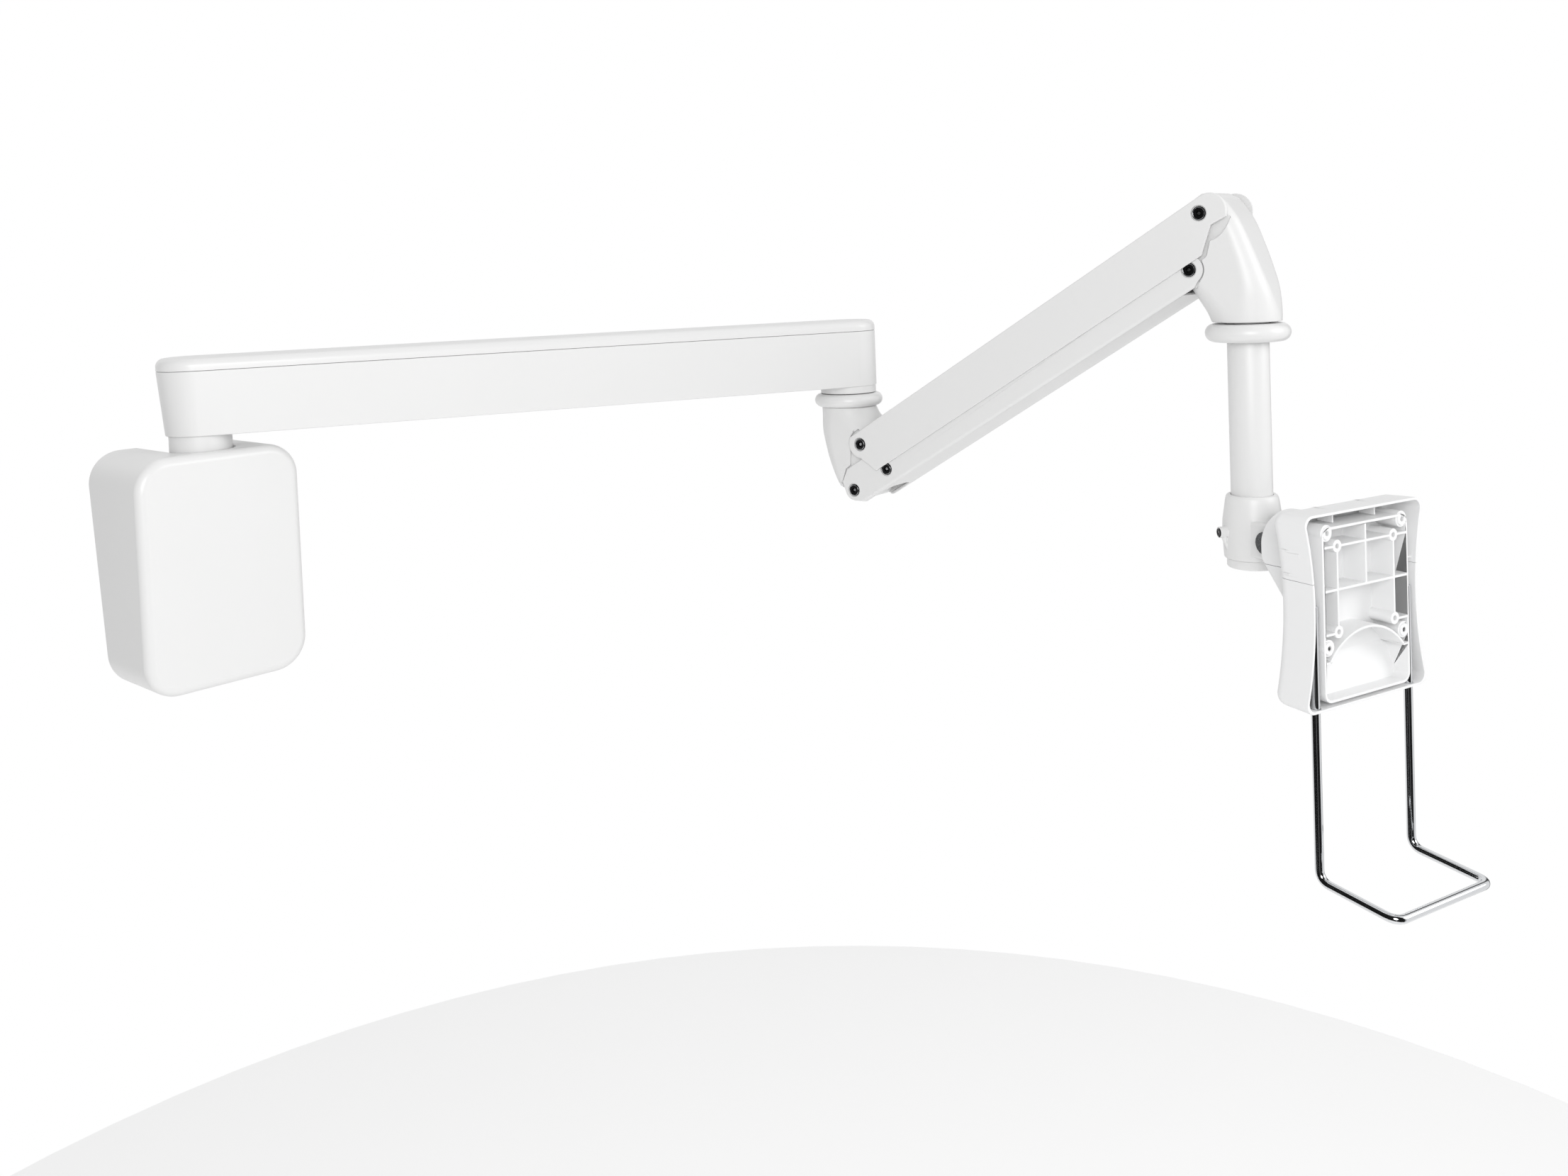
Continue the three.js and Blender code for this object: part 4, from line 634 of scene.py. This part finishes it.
class ARM_OT_links(bpy.types.Operator):
    """Make the two nested link casings with their screw seats"""
    bl_idname = "display_arm.links"
    bl_label = "Link casings"

    def execute(self, context):
        sizes = context.scene.arm_sizes
        far, past = LINK_LONG, 60
        upper = slab("upper", upper_outline(), -UPPER_HALF, UPPER_HALF)
        soften(upper, 1.6, 4, 70)
        inner = UPPER_HALF - UPPER_WALL
        fit(upper, block(-past, far + past, -past, past, -past, UPPER_SEAM + 0.4),
            block(-past, far + past, -inner, inner, -past, UPPER_TOP - UPPER_WALL),
            block(-past, UPPER_OPEN_ELBOW, -inner, inner, 0, past),
            block(far - UPPER_OPEN_HEAD, far + past, -inner, inner, 0, past))
        self.seats(upper, UPPER_HALF, (0, far), 1.8)
        soften(upper, 0.35, 2, 50)
        settle(upper, "upper_link_casing", UPPER_LINK, "upper_link", "white_paint", "upper_casing")

        lower = slab("lower", lower_outline(), -LOWER_HALF, LOWER_HALF)
        fit(lower, block(-past, far + past, -past, past, -past, LOWER_FLOOR + 0.2))
        floor = rounded(-LOWER_HALF, LOWER_HALF, LOWER_FLOOR, past, sizes.lower_round / MM, 10)
        fit(lower, slab("belly", floor, -past, far + past, "YZ"), how="INTERSECT")
        inner = LOWER_HALF - LOWER_WALL
        hollow = rounded(-inner, inner, LOWER_FLOOR + LOWER_WALL, past, 2.5, 6)
        fit(lower, slab("hollow", hollow, -past, far + past, "YZ"))
        mouth = rounded(-past, 40, -25.5, 25.5, 16, 12)
        fit(lower, slab("mouth", mouth, LOWER_FLOOR - 5, 0, "XY"),
            block(far - LOWER_OPEN_HEAD, far + past, -inner, inner, LOWER_FLOOR - 5, 0))
        self.seats(lower, LOWER_HALF, (0, SPRING_PIN, far), 1.6)
        soften(lower, 0.35, 2, 50)
        settle(lower, "lower_link_casing", LOWER_LINK, "lower_link", "white_paint", "lower_casing")
        return {"FINISHED"}

    def seats(self, casing, half, places, deep):
        """Sink a screw recess into both sides of a casing at each pivot, and bore the shank's hole."""
        for x in places:
            for side in (-1, 1):
                fit(casing, peg(SEAT_ROUND, (x, side * (half - deep), 0), (x, side * (half + 2), 0), 72))
            fit(casing, peg(SHANK_HOLE, (x, -half - 1, 0), (x, half + 1, 0)))


HEAD_SUNK, SHANK_LONG = 1.3, 28


class ARM_OT_screws(bpy.types.Operator):
    """Make one pivot screw, with a bright steel ring on its head and a bright pin in its socket as painted glints,
    and copy them to every pivot
    """
    bl_idname = "display_arm.screws"
    bl_label = "Pivot screws"

    def execute(self, context):
        head = context.scene.arm_sizes.screw_head / MM
        profile = [(0, -1.1), (head - 0.9, -1.1), (head - 0.3, -0.9), (head, -0.35), (head, 0), (5.9, 0.3),
                   (5.8, SHANK_LONG), (0, SHANK_LONG)]
        screw = turned("screw", profile, 64)
        fit(screw, peg(2.9, (0, 0, -3), (0, 0, 2.6), 6), peg(3.4, (0, 0, -3), (0, 0, -0.8), 48, 2.9))
        soften(screw, 0.12, 2, 40)
        # A thin bright steel ring on the head's face near its rim, and a bright pin at the bottom of the hex
        # socket: painted glints that stand in for the highlights on the black head's bevel and in its socket
        edge = head - 1.25
        ring = turned("painted_glint", [(edge, -1.0), (edge, -1.22), (edge + 0.15, -1.32), (edge + 0.4, -1.32),
                               (edge + 0.55, -1.18), (edge + 0.55, -1.0), (edge, -1.0)], 64)
        merged(ring, peg(1.5, (0, 0, 0.4), (0, 0, 2.8), 32))
        upper_face, lower_face = UPPER_HALF - HEAD_SUNK, LOWER_HALF - HEAD_SUNK
        rows = [("elbow_pivot", 0, UPPER_LINK, "upper_link", upper_face),
                ("head_pivot", LINK_LONG, UPPER_LINK, "upper_link", upper_face),
                ("elbow_lower", 0, LOWER_LINK, "lower_link", lower_face),
                ("spring", SPRING_PIN, LOWER_LINK, "lower_link", lower_face),
                ("head_lower", LINK_LONG, LOWER_LINK, "lower_link", lower_face)]
        for name, x, place, body, face in rows:
            for side, kind in ((-1, "pin"), (1, "screw")):
                spot = place @ Matrix.Translation(Vector((x, side * face, 0)) * MM)
                spot = spot @ Matrix.Rotation(math.radians(90 * side), 4, "X")
                settle(copied(screw), f"{name}_{kind}_head", spot, body, "black_screw", f"{name}_{kind}")
                # Each screw head gets the bright ring and pin as its painted glints
                settle(copied(ring), f"{name}_{kind}_seat", spot, body, "bright_steel", flat=False)
        bpy.data.objects.remove(screw)
        bpy.data.objects.remove(ring)
        return {"FINISHED"}


# ---------- the drop tube and the hub ----------
CLAMP_TURN = 250  # degrees round the tube
TUBE_IN, TUBE_OUT, TUBE_FOOT, TUBE_TOP = 16.8, 19.3, -24, 226
HUB_BORE, PIN_BORE, CLAMP_BORE = 19.6, 5.3, 3.9
LUG_ROUND, LUG_HALF = 17, 22
HUB_WALL = [(26.2, -25.9), (26.8, -25), (27.3, -17), (27.9, -6), (28, 2), (27.6, 10), (26.6, 17), (25.8, 22),
            (24.9, 29), (24.1, 32.4), (23.2, 34.2), (22, 34.9), (0, 34.9)]
CAP_WALL = [(0, -35), (22.2, -35), (23.6, -34.5), (24.4, -33.2), (24.4, -26.5), (24.1, -26.2), (0, -26.2)]


class ARM_OT_stem(bpy.types.Operator):
    """Make the drop tube, the clamped hub with its tilt lug, and the cap under it"""
    bl_idname = "display_arm.stem"
    bl_label = "Drop tube and hub"

    def execute(self, context):
        sizes = context.scene.arm_sizes
        tube = turned("tube", [(TUBE_IN, TUBE_FOOT), (TUBE_OUT, TUBE_FOOT), (TUBE_OUT, TUBE_TOP),
                               (TUBE_IN, TUBE_TOP), (TUBE_IN, TUBE_FOOT)], 96)
        soften(tube, 0.5, 2, 60)
        settle(tube, "stem_tube", HEAD, "drop_stem", "white_paint", "drop_tube", flat=False)

        hub = turned("hub", [(0, HUB_WALL[0][1]), *HUB_WALL], 96)
        lug = [(0, TILT.z - LUG_ROUND), *arc(TILT.x, TILT.z, LUG_ROUND, -90, 90, 32), (0, TILT.z + LUG_ROUND)]
        knuckle = slab("lug", lug, -LUG_HALF, LUG_HALF)
        soften(knuckle, 3, 5, 60)
        turn = math.radians(CLAMP_TURN)
        out = Vector((math.cos(turn), math.sin(turn), 0))
        boss = peg(5.4, out * 20, out * 35, 64)
        soften(boss, 0.8, 3, 60)
        rib = peg(1.2, out * 26 + Vector((0, 0, -17)), out * 29.4, 48, 4.8)
        merged(hub, knuckle, boss, rib)
        fit(hub, peg(HUB_BORE, (0, 0, -30), (0, 0, 40), 96),
            peg(PIN_BORE, (TILT.x, -60, TILT.z), (TILT.x, 60, TILT.z)), peg(CLAMP_BORE, out * 15, out * 40))
        soften(hub, sizes.edge / MM, 3, 42)
        settle(hub, "hub_casting", HEAD, "drop_stem", "white_paint", "hub_body")

        cap = turned("cap", CAP_WALL)
        settle(cap, "hub_base", HEAD, "drop_stem", "white_plastic", "hub_cap", flat=False)
        screw = peg(3.6, out * 19.6, out * 35.6, 48)
        fit(screw, peg(2.1, out * 32.4, out * 38, 6))
        soften(screw, 0.3, 2, 50)
        settle(screw, "hub_clamp", HEAD, "drop_stem", "black_screw", "clamp_screw")
        return {"FINISHED"}


# ---------- the display head ----------
SHROUD_TOP, SHROUD_FOOT, SHROUD_DEEP, SHROUD_WALL, SHROUD_ROUND = 67.5, -104, 40, 2.2, 12
SPLIT = 8
NECK_HALF, NECK_REAR, NECK_CREST, NECK_SPRING, NECK_WALL, NECK_FOOT = 36, 41, 54, 26, 3, -55
NECK_SLOPE, NECK_CORNER = 1.35, 10
LUG_ROOM, LUG_ROOM_HALF = 19.2, 24
RIB_BACK, SIDE_RIB, HOOK, TOP_RIBS = 14, (33, 35), (12, 14), (-30, 26)
TRAY_HALF, TRAY_TOP, TRAY_FOOT, TRAY_DEEP, TRAY_WALL = 57, TRAY_RISE, -98, 26, 2.4
ROD_SIDE, ROD_BACK, ROD_TOP, ROD_FOOT, ROD_REACH, ROD_DROP = 62.2, 6.4, -12, -252.7, 76, 6


def shroud_half(z):
    """Half the shroud's width at a height; its sides are waisted."""
    return 69 + 9.5 * ((z + 15) / 75) ** 2


def shroud_ring(x, inset):
    """One section of the shroud at a depth, drawn in by an inset."""
    top, foot, r = SHROUD_TOP - inset, SHROUD_FOOT + inset, max(9 - inset / 2, 3)
    right = arc(shroud_half(foot + r) - inset - r, foot + r, r, -90, 0, 8)
    for i in range(1, 24):
        z = foot + r + (top - foot - 2 * r) * i / 24
        right.append((shroud_half(z) - inset, z))
    right += arc(shroud_half(top - r) - inset - r, top - r, r, 0, 90, 8)
    left = [(-y, z) for y, z in reversed(right)]
    return [(x, y, z + FACE_Z) for y, z in right + left]


def shroud(shrink):
    """The shroud's form, or its hollow when it is shrunk by the wall."""
    back = FACE_X - SHROUD_DEEP + shrink
    r = SHROUD_ROUND - shrink
    front = FACE_X + (5 if shrink else 0)
    rings = [shroud_ring(front, shrink), shroud_ring(back + r, shrink + 1.2)]
    for i in range(1, 11):
        t = math.radians(9 * i)
        rings.append(shroud_ring(back + r * (1 - math.sin(t)), shrink + 1.2 + r * (1 - math.cos(t))))
    return skin("shroud", rings)


def neck(shrink, rear, front):
    """The arched neck with its sloping underside, or its hollow when it is shrunk by the wall."""
    half, spring = NECK_HALF - shrink, NECK_SPRING + FACE_Z
    rise = NECK_CREST - NECK_SPRING - shrink

    def ring(x):
        turns = [math.pi * i / 32 for i in range(33)]
        arch = [(half * math.cos(t), spring + rise * math.sin(t)) for t in turns]
        slope = FACE_Z + 2 + (NECK_REAR - x + 3) * NECK_SLOPE + 0.68 * shrink
        low, r = max(slope, FACE_Z + NECK_FOOT) + shrink, NECK_CORNER
        base = arc(-half + r, low + r, r, 180, 270, 8) + arc(half - r, low + r, r, 270, 360, 8)
        return [(x, y, z) for y, z in arch + base]

    knee = NECK_REAR + 3 + (2 - NECK_FOOT) / NECK_SLOPE
    stations = [rear + (knee - rear) * i / 12 for i in range(13)]
    stations = [x for x in stations if x < front] + [front]
    return skin("neck", [ring(x) for x in stations])


class ARM_OT_head_shells(bpy.types.Operator):
    """Mould the two rear shells of the display head, with the neck that takes the hub's lug"""
    bl_idname = "display_arm.head_shells"
    bl_label = "Rear shells"

    def execute(self, context):
        back = FACE_X - SHROUD_DEEP
        shell = merged(shroud(0), neck(0, NECK_REAR, back + 8))
        hollow = merged(shroud(SHROUD_WALL), neck(NECK_WALL, NECK_REAR - 3, back + 8))
        lug_room = peg(LUG_ROOM, (TILT.x, -LUG_ROOM_HALF, TILT.z), (TILT.x, LUG_ROOM_HALF, TILT.z))
        fit(shell, hollow, lug_room)
        for side in (-1, 1):
            rib = (TRAY_HALF + 0.3, shroud_half(34) - 0.5)[::side]
            hook = (64, shroud_half(12) - 0.5)[::side]
            for short, (y0, y1), (foot, top) in ((12, rib, SIDE_RIB), (5, hook, HOOK)):
                merged(shell, block(back + RIB_BACK, FACE_X - short, side * y0, side * y1, FACE_Z + foot,
                                    FACE_Z + top))
        for y in TOP_RIBS:
            merged(shell, block(back + RIB_BACK, FACE_X - 10, y - 0.9, y + 0.9, FACE_Z + TRAY_TOP + 0.5,
                                FACE_Z + SHROUD_TOP - 0.5))
        for side in (-1, 1):
            x, y = FACE_X - ROD_BACK, side * ROD_SIDE
            fit(shell, peg(4.7, (x, y, FACE_Z - 120), (x, y, FACE_Z - 85)))
        for name, up in (("upper", True), ("lower", False)):
            half = copied(shell)
            z = FACE_Z + SPLIT + (0.15 if up else -0.15)
            keep = block(-20, 300, -200, 200, z, 200) if up else block(-20, 300, -200, 200, -300, z)
            fit(half, keep, how="INTERSECT")
            soften(half, 0.45, 2, 45)
            settle(half, f"head_shell_{name}", HEAD, "display_head", "head_plastic", f"rear_shell_{name}")
        bpy.data.objects.remove(shell)
        return {"FINISHED"}


BOSS_SQUARES, BOSS, PAD, SCREW_BORE, SCREW_DEEP = (37.5, 50), 5.6, 7.4, 2.2, 14
BOW_HALF, BOW_RISE, BOW_THICK = 50, 24, 2.2
MID_RIB, LOW_RIB, SLOTS = -0.5, -38.5, (-31.5, -9.8)


class ARM_OT_tray(bpy.types.Operator):
    """Make the ribbed display tray with its screw bosses"""
    bl_idname = "display_arm.tray"
    bl_label = "Display tray"

    def execute(self, context):
        rib = context.scene.arm_sizes.tray_rib / MM / 2
        back, half = FACE_X - TRAY_DEEP, TRAY_HALF

        def z(h):
            return FACE_Z + h

        def ring(x, inset):
            points = rounded(-half + inset, half - inset, TRAY_FOOT + inset, TRAY_TOP - inset, 9 - inset, 8)
            return [(x, y, z(h)) for y, h in points]

        tray = skin("tray", [ring(back + TRAY_WALL, TRAY_WALL), ring(FACE_X, TRAY_WALL), ring(FACE_X, 0),
                             ring(back, 0)])

        def level(h, y0=-half + 1, y1=half - 1):
            return block(back + 1, FACE_X, y0, y1, z(h) - rib, z(h) + rib)

        def upright(y, h0, h1):
            return block(back + 1, FACE_X, y - rib, y + rib, z(h0), z(h1))

        near = BOSS_SQUARES[0]
        merged(tray, level(MID_RIB), level(near), level(LOW_RIB, 1 - half, -near),
               level(LOW_RIB, near, half - 1), upright(-near, -near, near), upright(near, -near, near),
               upright(0, MID_RIB, TRAY_TOP - 1))
        radius = (BOW_HALF**2 + BOW_RISE**2) / (2 * BOW_RISE)
        middle, span = z(-38) - radius, math.degrees(math.asin(BOW_HALF / radius))
        bow = arc(0, middle, radius, 90 - span, 90 + span, 40)
        bow += arc(0, middle, radius - BOW_THICK, 90 + span, 90 - span, 40)
        merged(tray, slab("bow", bow, back + 1, FACE_X, "YZ"))
        for side in (-1, 1):
            foot = (half - 9, half - 1) if side > 0 else (1 - half, 9 - half)
            centre = (side * (half - 7.4), z(-64.2))
            curl = [*arc(*centre, 2.4, 90, 90 - side * 90, 8), centre][::side]
            merged(tray, block(back + 1, FACE_X - 0.2, *foot, z(-63.9), z(-61.9)))
            merged(tray, slab("curl", curl, back + 1, FACE_X - 0.2, "YZ"))
        ramp = [(back + 1, z(-60)), (back + 1, z(TRAY_FOOT + 1)), (back + 12, z(TRAY_FOOT + 1)),
                (back + 10.5, z(TRAY_FOOT + 12))]
        merged(tray, slab("ramp", ramp, -half + 1, half - 1))
        spots = [(sy * h, z(sz * h)) for h in BOSS_SQUARES for sy in (-1, 1) for sz in (-1, 1)]
        for y, at in spots:
            merged(tray, peg(BOSS, (back + 1, y, at), (FACE_X, y, at), 48))
            if abs(y) == BOSS_SQUARES[1]:
                merged(tray, peg(PAD, (back + 1, y, at), (FACE_X - 1.2, y, at), 48))
        for y, at in spots:
            fit(tray, peg(SCREW_BORE, (FACE_X - SCREW_DEEP, y, at), (FACE_X + 1, y, at), 32))
        for y in SLOTS:
            slot = [(a, z(b)) for a, b in rounded(y - 2, y + 2, -31, -19, 1.9, 6)]
            fit(tray, slab("slot", slot, back - 1, back + TRAY_WALL + 1, "YZ"))
        soften(tray, 0.35, 2, 40)
        settle(tray, "display_tray", HEAD, "display_head", "head_plastic", "mount_tray")
        return {"FINISHED"}


class ARM_OT_handle(bpy.types.Operator):
    """Bend the chrome rod handle"""
    bl_idname = "display_arm.handle"
    bl_label = "Rod handle"

    def execute(self, context):
        sizes = context.scene.arm_sizes
        radius, bend = sizes.rod / MM, sizes.rod_bend / MM
        x, top, low = FACE_X - ROD_BACK, FACE_Z + ROD_TOP, FACE_Z + ROD_FOOT
        near = [(x, -ROD_SIDE, top), (x, -ROD_SIDE, low), (x + ROD_REACH, -ROD_SIDE, low - ROD_DROP)]
        knots = [Vector(p) for p in near + [(a, -y, b) for a, y, b in reversed(near)]]
        path = [(knots[0], (knots[1] - knots[0]).normalized())]
        for before, here, after in zip(knots, knots[1:], knots[2:]):
            a = here.lerp(before, bend / (here - before).length)
            b = here.lerp(after, bend / (here - after).length)
            for i in range(13):
                t = i / 12
                at = (1 - t) ** 2 * a + 2 * t * (1 - t) * here + t**2 * b
                path.append((at, ((1 - t) * (here - a) + t * (b - here)).normalized()))
        path.append((knots[-1], (knots[-1] - knots[-2]).normalized()))
        (start, first), (end, last) = path[0], path[-1]
        stations = [(start, first, 0.86), (start + first * 0.55, first, 1)]
        stations += [(at, along, 1) for at, along in path[1:-1]]
        stations += [(end - last * 0.55, last, 1), (end, last, 0.86)]
        across, rings = Vector((1, 0, 0)), []
        for at, along, share in stations:
            across = (across - along * across.dot(along)).normalized()
            up = along.cross(across)
            turns = [2 * math.pi * i / 28 for i in range(28)]
            rings.append([at + (across * math.cos(t) + up * math.sin(t)) * radius * share for t in turns])
        rod = skin("rod", rings)
        settle(rod, "rod_handle", HEAD, "handle", "chrome_rod", "handle_loop", flat=False)
        return {"FINISHED"}


# ---------- the stage ----------
# places and sizes here are in metres, angles in radians, lamp power in watts
CAMERA_PLACE, CAMERA_HEADING = (-0.6095, -1.4084, 0.27225), (0.7393, 0.6733, 0)
CAMERA_PITCH, CAMERA_ROLL, CAMERA_LENS, CAMERA_SHIFT = 0.040, 0.039, 31.734, -0.1719
FLOOR_PLACE, FLOOR_ROUND, FLOOR_GLOW = (0.35, -0.5, -1.25), 1.7, 0.15
ARM_MIDDLE = (0.35, -0.5, 0.05)
LAMPS = (("key", (1.5, -3.0, 1.0), 1.6, 20), ("fill", (-1.2, -1.9, 0.6), 1.2, 22),
         ("top", (0.4, -0.6, 2.8), 2.4, 4))
# dark and bright cards round the studio, as a share of the turn and a brightness
CARDS = ((0.0, 0.01), (0.06, 0.01), (0.08, 0.25), (0.1, 0.01), (0.25, 0.01), (0.29, 1.0), (0.44, 1.0),
         (0.47, 0.1), (0.5, 0.1), (0.53, 1.0), (0.78, 1.0), (0.82, 0.01))


def studio_world(scene):
    """A white backdrop that lights softly and shows dark and bright cards to polished metal."""
    world = bpy.data.worlds.new("studio")
    scene.world = world
    world.use_nodes = True
    nodes, links = world.node_tree.nodes, world.node_tree.links
    room = nodes["Background"]
    path = nodes.new("ShaderNodeLightPath")
    seen = nodes.new("ShaderNodeBackground")
    seen.inputs["Color"].default_value = (1, 1, 1, 1)
    seen.inputs["Strength"].default_value = 1.0
    place = nodes.new("ShaderNodeTexCoord")
    bands = nodes.new("ShaderNodeTexGradient")
    bands.gradient_type = "RADIAL"
    links.new(place.outputs["Generated"], bands.inputs["Vector"])
    cards = nodes.new("ShaderNodeValToRGB")
    ramp = cards.color_ramp
    while len(ramp.elements) < len(CARDS):
        ramp.elements.new(0.5)
    for element, (position, level) in zip(ramp.elements, CARDS):
        element.position = position
        element.color = (level, level, level, 1)
    links.new(bands.outputs["Fac"], cards.inputs["Fac"])
    split = nodes.new("ShaderNodeMix")
    split.data_type = "RGBA"
    split.inputs["B"].default_value = (0.7, 0.7, 0.7, 1)
    gloss = nodes.new("ShaderNodeMath")
    gloss.operation = "SUBTRACT"
    gloss.inputs[0].default_value = 1
    links.new(path.outputs["Is Glossy Ray"], gloss.inputs[1])
    links.new(gloss.outputs["Value"], split.inputs["Factor"])
    links.new(cards.outputs["Color"], split.inputs["A"])
    links.new(split.outputs["Result"], room.inputs["Color"])
    room.inputs["Strength"].default_value = 0.95
    mix = nodes.new("ShaderNodeMixShader")
    links.new(path.outputs["Is Camera Ray"], mix.inputs["Fac"])
    links.new(room.outputs["Background"], mix.inputs[1])
    links.new(seen.outputs["Background"], mix.inputs[2])
    links.new(mix.outputs["Shader"], nodes["World Output"].inputs["Surface"])


class ARM_OT_stage(bpy.types.Operator):
    """Set the camera, the pale floor and the soft studio light"""
    bl_idname = "display_arm.stage"
    bl_label = "Stage"

    def execute(self, context):
        scene = context.scene
        put_down()
        level = Vector(CAMERA_HEADING).normalized()
        right = Vector((level.y, -level.x, 0))
        forward = level * math.cos(CAMERA_PITCH) - Vector((0, 0, math.sin(CAMERA_PITCH)))
        up = level * math.sin(CAMERA_PITCH) + Vector((0, 0, math.cos(CAMERA_PITCH)))
        cam_right = right * math.cos(CAMERA_ROLL) - up * math.sin(CAMERA_ROLL)
        cam_up = right * math.sin(CAMERA_ROLL) + up * math.cos(CAMERA_ROLL)
        bpy.ops.object.camera_add()
        camera = context.object
        camera.name = "camera"
        facing = Matrix((cam_right, cam_up, -forward)).transposed().to_4x4()
        camera.matrix_world = Matrix.Translation(CAMERA_PLACE) @ facing
        camera.data.sensor_width = 36
        camera.data.sensor_fit = "HORIZONTAL"
        camera.data.lens = CAMERA_LENS
        camera.data.shift_y = CAMERA_SHIFT
        camera.data.clip_start, camera.data.clip_end = 0.01, 100
        scene.camera = camera

        bpy.ops.mesh.primitive_circle_add(vertices=96, radius=FLOOR_ROUND, fill_type="NGON",
                                          location=FLOOR_PLACE)
        floor = context.object
        floor.name = "studio_floor"
        make_finish("floor_white", (0.93, 0.93, 0.93), 0.7, grain=60, depth=0.01, mottle=0.004)
        floor.data.materials.append(FINISHES["floor_white"])
        glow = FINISHES["floor_white"].node_tree.nodes["Principled BSDF"]
        glow.inputs["Emission Color"].default_value = (1, 1, 1, 1)
        glow.inputs["Emission Strength"].default_value = FLOOR_GLOW

        scene.view_settings.view_transform = "Standard"
        studio_world(scene)
        for name, spot, size, power in LAMPS:
            put_down()
            bpy.ops.object.light_add(type="AREA", location=spot)
            lamp = context.object
            lamp.name = f"{name}_light"
            lamp.data.shape = "DISK"
            lamp.data.size = size
            lamp.data.energy = power
            lamp.rotation_euler = (Vector(ARM_MIDDLE) - Vector(spot)).to_track_quat("-Z", "Y").to_euler()
        return {"FINISHED"}


# ---------- the panel ----------
STEPS = ("finishes", "stage", "cover", "extension", "collars", "elbow_yoke", "links", "screws", "head_yoke",
         "stem", "head_shells", "tray", "handle")


class ARM_PT_panel(bpy.types.Panel):
    bl_label = "Display Arm"
    bl_idname = "ARM_PT_panel"
    bl_space_type = "VIEW_3D"
    bl_region_type = "UI"
    bl_category = "Display Arm"

    def draw(self, context):
        for group in (context.scene.arm_sizes, context.scene.arm_finishes):
            for name in group.bl_rna.properties.keys():
                if name not in ("rna_type", "name"):
                    self.layout.prop(group, name)
        for step in STEPS:
            self.layout.operator(f"display_arm.{step}")


CLASSES = (ArmSizes, ArmFinishes, ARM_OT_finishes, ARM_OT_stage, ARM_OT_cover, ARM_OT_extension,
           ARM_OT_collars, ARM_OT_elbow_yoke, ARM_OT_links, ARM_OT_screws, ARM_OT_head_yoke, ARM_OT_stem,
           ARM_OT_head_shells, ARM_OT_tray, ARM_OT_handle, ARM_PT_panel)


def register():
    for cls in CLASSES:
        bpy.utils.register_class(cls)
    bpy.types.Scene.arm_sizes = bpy.props.PointerProperty(type=ArmSizes)
    bpy.types.Scene.arm_finishes = bpy.props.PointerProperty(type=ArmFinishes)


def unregister():
    del bpy.types.Scene.arm_sizes
    del bpy.types.Scene.arm_finishes
    for cls in reversed(CLASSES):
        bpy.utils.unregister_class(cls)


def main():
    register()
    for step in STEPS:
        getattr(bpy.ops.display_arm, step)()
    put_down()


if __name__ == "__main__":
    main()
